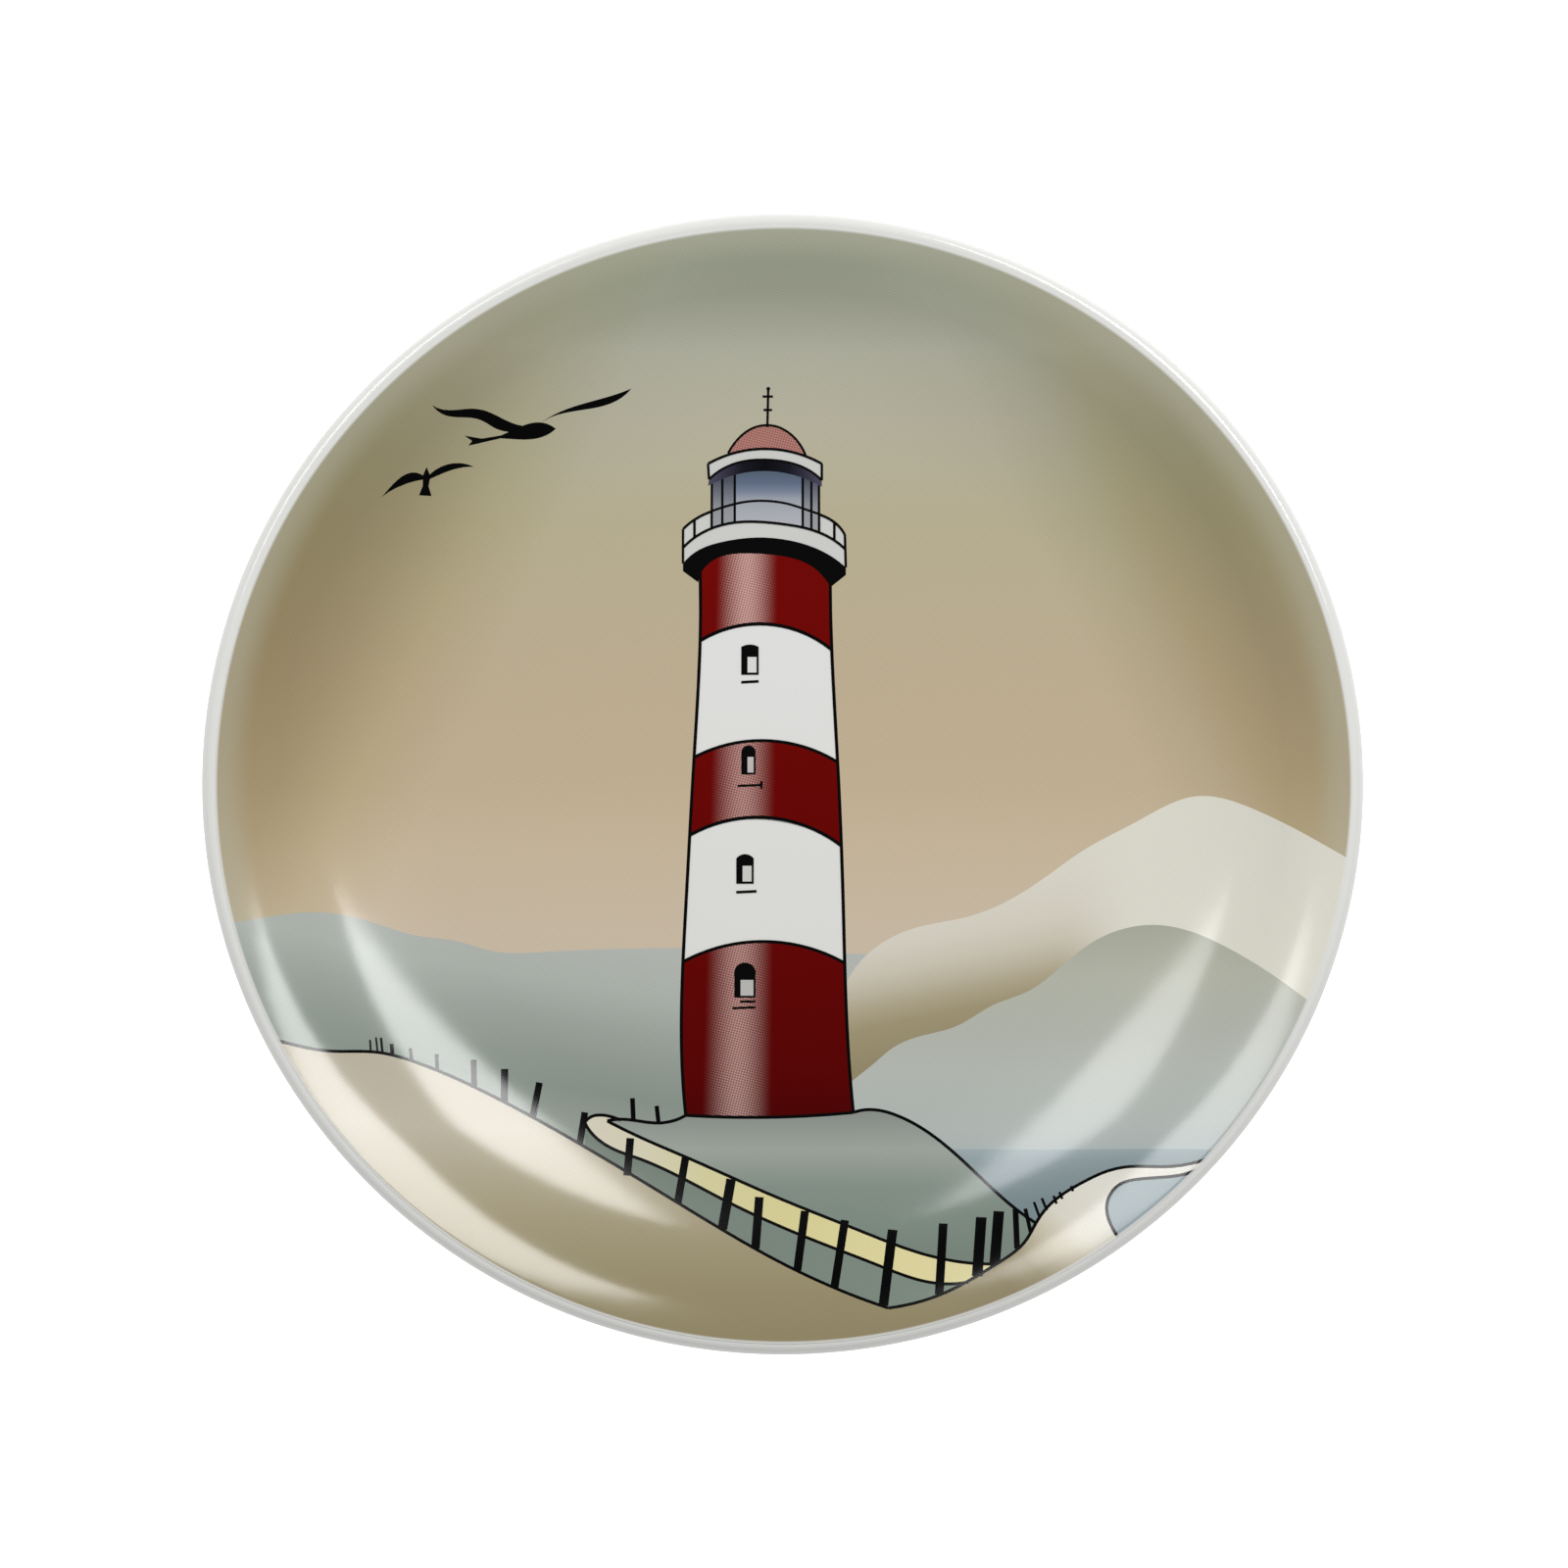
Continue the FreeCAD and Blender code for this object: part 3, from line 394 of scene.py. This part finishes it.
def divide_print():
    """Cuts the print into triangles. Returns their plan points, corners and the node of each, or -1."""
    outlines = [outline(node) for node in NODES]
    rim = circle_points(PRINT_CENTRE, PRINT_RADIUS, LIP_STEPS)
    loops = np.concatenate(outlines).reshape(-1, 2)
    welded, same = np.unique(np.round(loops / WELD).astype(int), axis=0, return_inverse=True)
    loop_edges = same.ravel().reshape(-1, 2)
    loop_points = welded * WELD
    points = np.concatenate([loop_points, rim, steiner_points()])
    edges = [tuple(map(int, edge)) for edge in loop_edges if edge[0] != edge[1]]
    for here in range(len(rim)):
        ahead = (here + 1) % len(rim)
        edges.append((len(loop_points) + here, len(loop_points) + ahead))
    cut = delaunay_2d_cdt([Vector(point) for point in points], edges, [], 0, OUTLINE_WELD)
    plan = np.array([tuple(point) for point in cut[0]], float)
    triangles = np.array(cut[2], int)
    centres = plan[triangles].mean(axis=1)
    owner = np.full(len(triangles), -1)
    for index, edges_of_node in enumerate(outlines):
        owner[inside(centres, edges_of_node)] = index
    in_print = np.linalg.norm(centres - PRINT_CENTRE, axis=1) < PRINT_RADIUS
    triangles = triangles[in_print]
    owner = owner[in_print]
    return plan, triangles, fill_slivers(plan, triangles, owner)


def neighbours(triangles):
    """The pairs of triangles that share an edge, with that edge."""
    count = len(triangles)
    edges = np.sort(triangle_edges(triangles), axis=1)
    owners = np.tile(np.arange(count), 3)
    order = np.lexsort((edges[:, 1], edges[:, 0]))
    edges = edges[order]
    owners = owners[order]
    twin = np.all(edges[1:] == edges[:-1], axis=1)
    return owners[:-1][twin], owners[1:][twin], edges[:-1][twin]


def fill_slivers(plan, triangles, owner):
    """Gives each narrow uncovered strip to the neighbour it touches most."""
    first, second, shared = neighbours(triangles)
    lengths = np.linalg.norm(plan[shared[:, 0]] - plan[shared[:, 1]], axis=1)
    group = np.arange(len(triangles))
    both_bare = (owner[first] < 0) & (owner[second] < 0)
    changed = True
    while changed:
        lowest = np.minimum(group[first[both_bare]], group[second[both_bare]])
        before = group.copy()
        np.minimum.at(group, first[both_bare], lowest)
        np.minimum.at(group, second[both_bare], lowest)
        group = group[group]
        changed = not np.array_equal(before, group)
    a, b, c = (plan[triangles[:, corner]] for corner in range(3))
    ab = b - a
    ac = c - a
    areas = 0.5 * np.abs(ab[:, 0] * ac[:, 1] - ab[:, 1] * ac[:, 0])
    group_area = np.bincount(group, areas, len(triangles))
    edge_of_strip = (owner[first] < 0) != (owner[second] < 0)
    bare = np.where(owner[first] < 0, first, second)[edge_of_strip]
    covered = np.where(owner[first] < 0, second, first)[edge_of_strip]
    border = np.bincount(group[bare], lengths[edge_of_strip], len(triangles))
    width = 2 * group_area / np.maximum(border, WELD)
    touch = {}
    for strip, node, length in zip(group[bare], owner[covered], lengths[edge_of_strip]):
        touch.setdefault(strip, {}).setdefault(node, 0)
        touch[strip][node] += length
    filled = owner.copy()
    for strip, nodes in touch.items():
        if width[strip] < SLIVER_WIDTH:
            filled[(group == strip) & (owner < 0)] = max(nodes, key=nodes.get)
    return filled


def film(name, plan, triangles):
    """A thin solid film of colour over the triangles of the plan, lying on the glaze."""
    used, inverse = np.unique(triangles, return_inverse=True)
    corners = inverse.reshape(-1, 3)
    places = plan[used]
    a, b, c = (places[corners[:, corner]] for corner in range(3))
    ab = b - a
    ac = c - a
    clockwise = ab[:, 0] * ac[:, 1] - ab[:, 1] * ac[:, 0] < 0
    corners[clockwise] = corners[clockwise][:, ::-1]
    upper, upper_normals = laid_on_face(places, INK_THICKNESS)
    lower, lower_normals = laid_on_face(places, INK_LIFT)
    count = len(places)
    edges = triangle_edges(corners)
    keys = np.sort(edges, axis=1)
    _, index, uses = np.unique(keys, axis=0, return_index=True, return_counts=True)
    border = edges[index[uses == 1]]
    along = places[border[:, 1]] - places[border[:, 0]]
    outward = np.column_stack([along[:, 1], -along[:, 0]]) / np.linalg.norm(along, axis=1)[:, None]
    outward = np.column_stack([outward, np.zeros(len(border))])
    faces = corners.tolist() + (corners[:, ::-1] + count).tolist()
    sides = np.column_stack([border[:, 1], border[:, 0], border[:, 0] + count, border[:, 1] + count])
    faces += sides.tolist()
    normals = np.concatenate([
        upper_normals[corners.ravel()],
        -lower_normals[corners[:, ::-1].ravel()],
        np.repeat(outward, 4, axis=0),
    ])
    return make_object(name, np.concatenate([upper, lower]), faces, normals)


def make_films():
    plan, triangles, owner = divide_print()
    films = {}
    for index, node in enumerate(NODES):
        chosen = triangles[owner == index]
        films[node] = film(node.replace("_decal", "_print"), plan, chosen)
    return films


# ---------------------------------------------------------------- colours


def linear(red, green, blue):
    """A shader colour from the 0 to 255 values of a display colour."""
    def one(value):
        share = value / 255
        return share / 12.92 if share <= 0.04045 else ((share + 0.055) / 1.055) ** 2.4
    return (one(red), one(green), one(blue), 1.0)


DOT_PITCH = 0.263                   # halftone dots of each screen
SCREENS = (15 * DEG, 75 * DEG, 45 * DEG)
RELIEF_SCREEN = SCREENS[1]
RELIEF_TILT = 0.009                 # how far the raised dots tilt the glossy surface, in radians
BLACK_SHARE = 0.6                   # strength of the black ink's dots beside those of the colours
SOFT_RIM = 0.35                     # width over which the transfer fades out at its rim
PAPER = (236, 236, 233)             # the white that the glaze shows


class Shader:
    """Adds nodes to a material and joins them. A value may be a number or another node's output."""

    def __init__(self, name):
        self.material = bpy.data.materials.new(name)
        self.material.use_nodes = True
        self.tree = self.material.node_tree
        self.tree.nodes.clear()
        self.output = self.node("OutputMaterial")
        scaled = self.node("VectorMath", operation="SCALE")
        scaled.inputs["Scale"].default_value = 1 / MM
        self.tree.links.new(self.node("TexCoord").outputs["Object"], scaled.inputs[0])
        self.place = scaled.outputs[0]      # the place on the plate in millimetres
        self.x, self.y, _ = self.parts(self.place)
        self.radius = self.distance(0, 0)

    def node(self, kind, **settings):
        node = self.tree.nodes.new("ShaderNode" + kind)
        for name, value in settings.items():
            setattr(node, name, value)
        return node

    def feed(self, socket, value):
        if isinstance(value, bpy.types.NodeSocket):
            self.tree.links.new(value, socket)
        else:
            socket.default_value = value

    def calc(self, operation, *values, clamp=False):
        node = self.node("Math", operation=operation, use_clamp=clamp)
        for socket, value in zip(node.inputs, values):
            self.feed(socket, value)
        return node.outputs[0]

    def parts(self, vector):
        node = self.node("SeparateXYZ")
        self.feed(node.inputs[0], vector)
        return node.outputs

    def joined(self, *parts):
        node = self.node("CombineXYZ")
        for socket, value in zip(node.inputs, parts):
            self.feed(socket, value)
        return node.outputs[0]

    def distance(self, x, y):
        """The plan distance from a place."""
        across = self.calc("SUBTRACT", self.x, x)
        along = self.calc("SUBTRACT", self.y, y)
        squares = self.calc("ADD", self.calc("MULTIPLY", across, across), self.calc("MULTIPLY", along, along))
        return self.calc("SQRT", squares)

    def ramp(self, value, *stops):
        """A display colour that changes steadily with a value, through (value, colour) stops."""
        first, last = stops[0][0], stops[-1][0]
        share = self.node("MapRange")
        self.feed(share.inputs["Value"], value)
        share.inputs["From Min"].default_value = first
        share.inputs["From Max"].default_value = last
        ramp = self.node("ValToRGB")
        elements = ramp.color_ramp.elements
        while len(elements) < len(stops):
            elements.new(0.5)
        for element, (place, _) in zip(elements, stops):
            element.position = (place - first) / (last - first)
        for element, (_, colour) in zip(elements, stops):
            element.color = linear(*colour)
        self.tree.links.new(share.outputs[0], ramp.inputs[0])
        return ramp.outputs[0]

    def smooth(self, value, start, end):
        """0 before start, 1 after end, and a smooth rise between."""
        node = self.node("MapRange", interpolation_type="SMOOTHSTEP")
        self.feed(node.inputs["Value"], value)
        node.inputs["From Min"].default_value = start
        node.inputs["From Max"].default_value = end
        return node.outputs[0]

    def mix(self, share, under, over, blend="MIX"):
        node = self.node("Mix", data_type="RGBA", blend_type=blend)
        self.feed(node.inputs["Factor"], share)
        self.feed(node.inputs["A"], under)
        self.feed(node.inputs["B"], over)
        return node.outputs["Result"]

    def times(self, colour, factors):
        """A colour times three factors given as a vector."""
        node = self.node("VectorMath", operation="MULTIPLY")
        self.feed(node.inputs[0], colour)
        self.feed(node.inputs[1], factors)
        return node.outputs[0]

    def screen(self, angle):
        """Two wave phases that cross at right angles, turned by the screen's angle."""
        turn = self.node("VectorRotate", rotation_type="Z_AXIS")
        self.feed(turn.inputs["Vector"], self.place)
        turn.inputs["Angle"].default_value = -angle
        u, v, _ = self.parts(turn.outputs[0])
        pitch = math.tau / DOT_PITCH
        return self.calc("MULTIPLY", u, pitch), self.calc("MULTIPLY", v, pitch)

    def dots(self, angle):
        """A field of round dots, from -1 between them to 1 on them."""
        u, v = self.screen(angle)
        both = self.calc("ADD", self.calc("COSINE", u), self.calc("COSINE", v))
        return self.calc("MULTIPLY", both, 0.5)

    def halftone(self, colour, strength):
        """A tint broken up by the dots of its inks, each ink on its own screen."""
        dots = [self.dots(angle) for angle in SCREENS]
        black = self.calc("MULTIPLY", dots[-1], BLACK_SHARE)
        shades = [self.calc("MULTIPLY_ADD", self.calc("ADD", dot, black), -strength, 1) for dot in dots]
        return self.times(colour, self.joined(*shades))

    def relief(self, normal):
        """The normal tilted by the raised dots of the transfer."""
        u, v = self.screen(RELIEF_SCREEN)
        turn = self.node("VectorRotate", rotation_type="Z_AXIS")
        self.feed(turn.inputs["Vector"], self.joined(self.calc("SINE", u), self.calc("SINE", v), 0))
        turn.inputs["Angle"].default_value = RELIEF_SCREEN
        tilted = self.node("VectorMath", operation="MULTIPLY_ADD")
        self.feed(tilted.inputs[0], turn.outputs[0])
        tilted.inputs[1].default_value = (RELIEF_TILT,) * 3
        self.feed(tilted.inputs[2], normal)
        unit = self.node("VectorMath", operation="NORMALIZE")
        self.feed(unit.inputs[0], tilted.outputs[0])
        return unit.outputs[0]

    def noise(self, scale, detail):
        node = self.node("TexNoise")
        self.feed(node.inputs["Vector"], self.place)
        node.inputs["Scale"].default_value = scale
        node.inputs["Detail"].default_value = detail
        return node.outputs[0]

    def bump(self, scale, detail, height):
        """The normal over a fine uneven surface, its height in millimetres."""
        node = self.node("Bump")
        self.feed(node.inputs["Height"], self.noise(scale, detail))
        node.inputs["Distance"].default_value = height * MM
        return node.outputs[0]

    def roughness(self, middle, change):
        return self.calc("MULTIPLY_ADD", self.noise(0.6, 3), change, middle - change / 2)

    def finish(self, colour, roughness, normal):
        surface = self.node("BsdfPrincipled")
        self.feed(surface.inputs["Base Color"], colour)
        self.feed(surface.inputs["Roughness"], roughness)
        surface.inputs["IOR"].default_value = 1.5
        self.feed(surface.inputs["Normal"], normal)
        self.tree.links.new(surface.outputs[0], self.output.inputs["Surface"])
        return self.material

    def printed(self, colour, strength):
        """A fired colour: its halftone, its soft edge at the transfer's rim and its gloss."""
        dotted = self.halftone(colour, strength) if strength else colour
        fade = self.smooth(self.distance(*PRINT_CENTRE), PRINT_RADIUS - SOFT_RIM, PRINT_RADIUS)
        faded = self.mix(fade, dotted, linear(*PAPER))
        return self.finish(faded, self.roughness(0.12, 0.02), self.relief(self.bump(0.25, 2, 0.01)))


# ---------------------------------------------------------------- the picture's colours

WHITE = (255, 255, 255)


def sky_colour(shader):
    """Grey-green at the top to warm beige at the horizon, browner towards both sides."""
    down = shader.ramp(
        shader.y,
        (-15, (212, 196, 173)), (-8, (210, 193, 166)), (0, (204, 186, 156)), (10, (200, 183, 154)),
        (28, (192, 183, 153)), (36, (191, 186, 162)), (46, (192, 192, 174)), (55, (165, 170, 150)),
    )
    left = shader.calc("MULTIPLY_ADD", shader.y, 0.45, shader.calc("MULTIPLY", shader.x, -1))
    right = shader.calc("MULTIPLY_ADD", shader.y, 0.45, shader.x)
    left_tone = shader.ramp(
        left, (36, WHITE), (44.5, (244, 243, 230)), (52, (223, 219, 203)), (60, (206, 201, 180))
    )
    right_tone = shader.ramp(
        right, (38, WHITE), (45, (245, 246, 242)), (50, (236, 234, 218)), (58, (220, 219, 204))
    )
    toned = shader.times(shader.times(down, left_tone), right_tone)
    lighter = shader.calc("MULTIPLY", shader.smooth(shader.radius, 54.5, 58), 0.45)
    return shader.mix(lighter, toned, linear(192, 190, 170))


def far_land_colour(shader):
    return shader.ramp(
        shader.calc("MULTIPLY_ADD", shader.x, 0.16, shader.calc("ADD", shader.y, 2.2)),
        (-36, (152, 161, 152)), (-33, (145, 156, 147)), (-30, (152, 162, 153)), (-26, (166, 173, 166)),
        (-22, (181, 188, 181)), (-17.5, (188, 192, 186)),
    )


def pale_dune_colour(shader):
    """Cream at the crest, brown in the hollow beside the tower."""
    hollow = shader.ramp(
        shader.calc("MULTIPLY_ADD", shader.x, -0.2, shader.calc("ADD", shader.y, 3.6)),
        (-28, (155, 144, 112)), (-23.5, (168, 156, 124)), (-21.5, (184, 174, 147)), (-20, (198, 190, 167)),
        (-18, (213, 206, 189)), (-15.5, (223, 217, 203)), (-11, (228, 225, 211)),
    )
    return shader.mix(shader.smooth(shader.x, 28, 37), hollow, linear(231, 229, 216))


def green_hill_colour(shader):
    return shader.ramp(
        shader.y,
        (-38.5, (179, 188, 187)), (-36, (186, 193, 189)), (-30, (190, 195, 188)), (-26, (188, 191, 181)),
        (-20, (188, 191, 176)), (-15, (177, 180, 164)),
    )


def sea_colour(shader):
    return shader.ramp(
        shader.y,
        (-44, (128, 144, 148)), (-41, (140, 155, 159)), (-39.6, (147, 162, 166)), (-38.3, (162, 176, 180)),
    )


def mound_colour(shader):
    return shader.ramp(
        shader.y,
        (-50, (124, 137, 127)), (-46, (130, 144, 134)), (-42, (137, 150, 141)), (-40.5, (148, 159, 150)),
        (-39, (160, 168, 160)), (-38, (165, 173, 165)), (-36, (156, 163, 156)), (-34, (144, 150, 144)),
    )


def bank_colour(shader):
    return shader.ramp(shader.x, (-21, (122, 134, 124)), (0, (127, 140, 130)), (14, (130, 143, 132)))


def path_colour(shader):
    return shader.ramp(
        shader.x,
        (-20, (222, 216, 197)), (-14, (222, 216, 188)), (-8, (221, 214, 166)), (0, (222, 214, 155)),
        (14, (229, 220, 165)), (21, (229, 221, 172)),
    )


def near_sand_colour(shader):
    """Beige darkening to the foot of the picture, with a cream bank at the right."""
    down = shader.ramp(
        shader.y,
        (-58, (151, 140, 107)), (-54, (155, 144, 111)), (-50, (162, 152, 121)), (-46, (170, 160, 131)),
        (-42, (181, 172, 146)), (-36, (199, 191, 172)), (-30, (195, 187, 168)),
    )
    slant = shader.calc("ADD", shader.x, shader.y)
    bank = shader.ramp(
        slant,
        (-30, (152, 141, 110)), (-25.5, (166, 156, 128)), (-21, (205, 197, 175)), (-17, (226, 222, 208)),
        (-11, (230, 228, 217)),
    )
    return shader.mix(shader.smooth(shader.x, 12, 22), down, bank)


def pool_colour(shader):
    return shader.ramp(shader.y, (-50, (154, 169, 174)), (-41, (160, 174, 178)))


def lantern_colour(shader):
    """Blue at the top of the middle pane to pale lilac, with greyer panes at its sides."""
    middle = shader.ramp(
        shader.y,
        (28, (185, 186, 194)), (29, (179, 181, 189)), (30.6, (162, 168, 178)), (31.4, (127, 137, 158)),
        (32.3, (101, 114, 138)), (33.3, (90, 103, 122)),
    )
    side = shader.ramp(
        shader.y,
        (26.5, (167, 169, 172)), (29.5, (152, 155, 160)), (31, (119, 123, 134)), (32.6, (82, 86, 99)),
    )
    apart = shader.calc("ABSOLUTE", shader.calc("ADD", shader.x, 1.5))
    return shader.mix(shader.smooth(apart, 3.4, 3.6), middle, side)


def roof_shadow_colour(shader):
    apart = shader.calc("ABSOLUTE", shader.calc("ADD", shader.x, 1.8))
    return shader.ramp(apart, (0, (12, 13, 18)), (2.5, (26, 26, 36)), (4, (52, 50, 66)), (6, (80, 78, 98)))


def pane_colour(shader):
    return shader.ramp(
        shader.y,
        (-20, (192, 191, 187)), (-12, (212, 212, 208)), (-6, (212, 212, 208)), (2, (198, 190, 188)),
        (10, (228, 228, 226)),
    )


def red_colour(shader):
    """Dark red with a light stripe down the tower, where the red breaks up into dots."""
    solid = shader.ramp(
        shader.y,
        (-34.6, (82, 1, 1)), (-30, (94, 1, 1)), (-18, (102, 2, 1)), (4, (110, 3, 1)), (22, (117, 5, 2)),
    )
    middle = shader.calc("MULTIPLY_ADD", shader.y, 0.018, -4.12)
    half_width = shader.calc("MULTIPLY_ADD", shader.y, -0.007, 3.44)
    apart = shader.calc("ABSOLUTE", shader.calc("SUBTRACT", shader.x, middle))
    stripe = shader.calc("SUBTRACT", 1, shader.smooth(shader.calc("DIVIDE", apart, half_width), 0, 1))
    strength = shader.calc("MULTIPLY_ADD", shader.smooth(shader.y, 5, 15), 0.15, 0.41)
    lightness = shader.calc("MULTIPLY", stripe, strength)
    spread = shader.calc("MULTIPLY", lightness, shader.calc("SUBTRACT", 1, lightness))
    dots = shader.calc("MULTIPLY", shader.dots(RELIEF_SCREEN), -1.3)
    return shader.mix(shader.calc("MULTIPLY_ADD", dots, spread, lightness), solid, linear(238, 197, 188))


def dome_colour(shader):
    """Salmon, broken up into coarse red dots."""
    dots = shader.calc("MULTIPLY_ADD", shader.dots(RELIEF_SCREEN), 0.45, 0.5)
    return shader.mix(dots, linear(205, 150, 140), linear(135, 75, 68))


def glaze_colour(shader):
    """White, a little greyer where it shows through the picture as the tower's gallery and roof edge."""
    tower = shader.ramp(
        shader.y,
        (-20, (231, 231, 227)), (14, (236, 236, 234)), (22, (235, 235, 233)), (23, (216, 217, 213)),
        (36, (212, 212, 208)),
    )
    return shader.mix(shader.smooth(shader.radius, 40, 44), tower, linear(*PAPER))


def black_colour(shader):
    return linear(8, 8, 9)


SCREENED = 0.09                     # how strongly the dots of a tint stand out
SOLID = 0.0

INKS = {
    "sky_decal": ("sky_colour", sky_colour, SCREENED),
    "far_land_decal": ("far_land_colour", far_land_colour, SCREENED),
    "pale_dune_decal": ("pale_dune_colour", pale_dune_colour, 0.05),
    "green_hill_decal": ("green_hill_colour", green_hill_colour, 0.07),
    "sea_decal": ("sea_colour", sea_colour, 0.11),
    "mound_decal": ("mound_colour", mound_colour, SCREENED),
    "bank_decal": ("bank_colour", bank_colour, SCREENED),
    "path_decal": ("path_colour", path_colour, 0.05),
    "near_sand_decal": ("near_sand_colour", near_sand_colour, SCREENED),
    "pool_decal": ("pool_colour", pool_colour, 0.04),
    "dome_decal": ("dome_colour", dome_colour, 0.06),
    "lantern_decal": ("lantern_colour", lantern_colour, SCREENED),
    "roof_shadow_decal": ("roof_shadow_colour", roof_shadow_colour, 0.3),
    "upper_red_band_decal": ("red_colour", red_colour, SOLID),
    "middle_red_band_decal": ("red_colour", red_colour, SOLID),
    "lower_red_band_decal": ("red_colour", red_colour, SOLID),
    "window_pane_decal": ("pane_colour", pane_colour, 0.03),
}
BLACK_INK = ("black_colour", black_colour, SOLID)


def ink_materials():
    """The material of each fired colour, made once however many films use it."""
    materials = {}
    for slot, colour, strength in (*INKS.values(), BLACK_INK):
        if slot not in materials:
            shader = Shader("fired_" + slot)
            materials[slot] = shader.printed(colour(shader), strength)
    return materials


def glaze_material():
    shader = Shader("clear_glaze")
    return shader.finish(glaze_colour(shader), shader.roughness(0.08, 0.02), shader.bump(0.25, 2, 0.01))


def bisque_material():
    shader = Shader("bare_bisque")
    return shader.finish(linear(225, 222, 214), shader.roughness(0.6, 0.1), shader.bump(8, 3, 0.02))


# ---------------------------------------------------------------- pieces


def dress(piece, node, material):
    piece.data.materials.append(material)
    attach(piece, "root")
    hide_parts(node)


glaze = glaze_material()
dress(turned("clay_body", body_runs()), "porcelain_body", bisque_material())
dress(turned("face_glaze_coat", face_glaze_runs()), "face_glaze", glaze)
dress(turned("underside_glaze_coat", underside_glaze_runs()), "underside_glaze", glaze)
fired = ink_materials()
for node, piece in make_films().items():
    slot = INKS.get(node, BLACK_INK)[0]
    dress(piece, node, fired[slot])

# ---------------------------------------------------------------- floor, light and camera


FLOOR_WIDTH = 6.0                   # metres, as are the other sizes of the studio
FLOOR_TONE = 0.85
FLOOR_SEEN = 0.85                   # the glow that the camera sees, which hides the plate's shadow
FLOOR_GLOW = 0.25                   # the glow that reaches the plate
SOFTBOX_HEIGHT = 1.2
FILL = 0.42
FILL_IN_GLAZE = 0.02


def make_floor():
    """Pale paper, lit by the lamps, that shows evenly pale to the camera."""
    half = FLOOR_WIDTH / 2
    corners = [(-half, -half, 0), (half, -half, 0), (half, half, 0), (-half, half, 0)]
    mesh = bpy.data.meshes.new("floor")
    mesh.from_pydata(corners, [], [(0, 1, 2, 3)])
    floor = bpy.data.objects.new("floor", mesh)
    bpy.context.scene.collection.objects.link(floor)
    shader = Shader("floor_paper")
    paper = shader.node("BsdfDiffuse")
    shader.feed(paper.inputs["Color"], (FLOOR_TONE, FLOOR_TONE, FLOOR_TONE, 1))
    seen = shader.node("LightPath").outputs["Is Camera Ray"]
    strength = shader.calc("MULTIPLY_ADD", seen, FLOOR_SEEN - FLOOR_GLOW, FLOOR_GLOW)
    glow = shader.node("Emission")
    shader.feed(glow.inputs["Strength"], strength)
    both = shader.node("AddShader")
    shader.feed(both.inputs[0], paper.outputs[0])
    shader.feed(both.inputs[1], glow.outputs[0])
    shader.feed(shader.output.inputs["Surface"], both.outputs[0])
    mesh.materials.append(shader.material)


def make_softbox(name, left, right, near, far, radiance):
    """A level rectangular softbox above the plate, given by the edges it would have one metre up.

    Its edges are distances from the plate's axis, along X and along Y.
    """
    up = SOFTBOX_HEIGHT
    data = bpy.data.lights.new(name, "AREA")
    data.shape = "RECTANGLE"
    data.size = (right - left) * up
    data.size_y = (far - near) * up
    data.energy = radiance * data.size * data.size_y * math.pi
    lamp = bpy.data.objects.new(name, data)
    bpy.context.scene.collection.objects.link(lamp)
    lamp.location = (up * (left + right) / 2, up * (near + far) / 2, up)


def make_world():
    """White to the camera, and a soft fill that hardly shows in the glaze."""
    world = bpy.data.worlds.new("room")
    bpy.context.scene.world = world
    world.use_nodes = True
    world.cycles.sampling_method = "NONE"
    tree = world.node_tree
    background = tree.nodes["Background"]
    background.inputs["Color"].default_value = (1, 1, 1, 1)
    path = tree.nodes.new("ShaderNodeLightPath")
    strength = FILL
    for rays, level in (("Is Glossy Ray", FILL_IN_GLAZE), ("Is Camera Ray", 1.0)):
        mix = tree.nodes.new("ShaderNodeMix")
        tree.links.new(path.outputs[rays], mix.inputs["Factor"])
        if isinstance(strength, float):
            mix.inputs["A"].default_value = strength
        else:
            tree.links.new(strength, mix.inputs["A"])
        mix.inputs["B"].default_value = level
        strength = mix.outputs["Result"]
    tree.links.new(strength, background.inputs["Strength"])


def make_camera():
    tilt = 10.872 * DEG
    target = Vector((0, 0, LIP_CENTRE[1] * MM))
    data = bpy.data.cameras.new("camera")
    data.lens = 222.2
    data.sensor_width = 36.0
    data.shift_x = 0.000875
    data.shift_y = -0.004025
    camera = bpy.data.objects.new("camera", data)
    bpy.context.scene.collection.objects.link(camera)
    camera.location = target + Vector((0, -math.sin(tilt), math.cos(tilt)))
    camera.rotation_euler = (tilt, 0, 0)
    bpy.context.scene.camera = camera


make_floor()
make_softbox("softbox_left", -0.66, -0.23, 0.41, 0.95, 5.5)
make_softbox("softbox_right", 0.18, 0.66, 0.41, 0.98, 10)
make_world()
make_camera()
bpy.context.scene.view_settings.view_transform = "Standard"
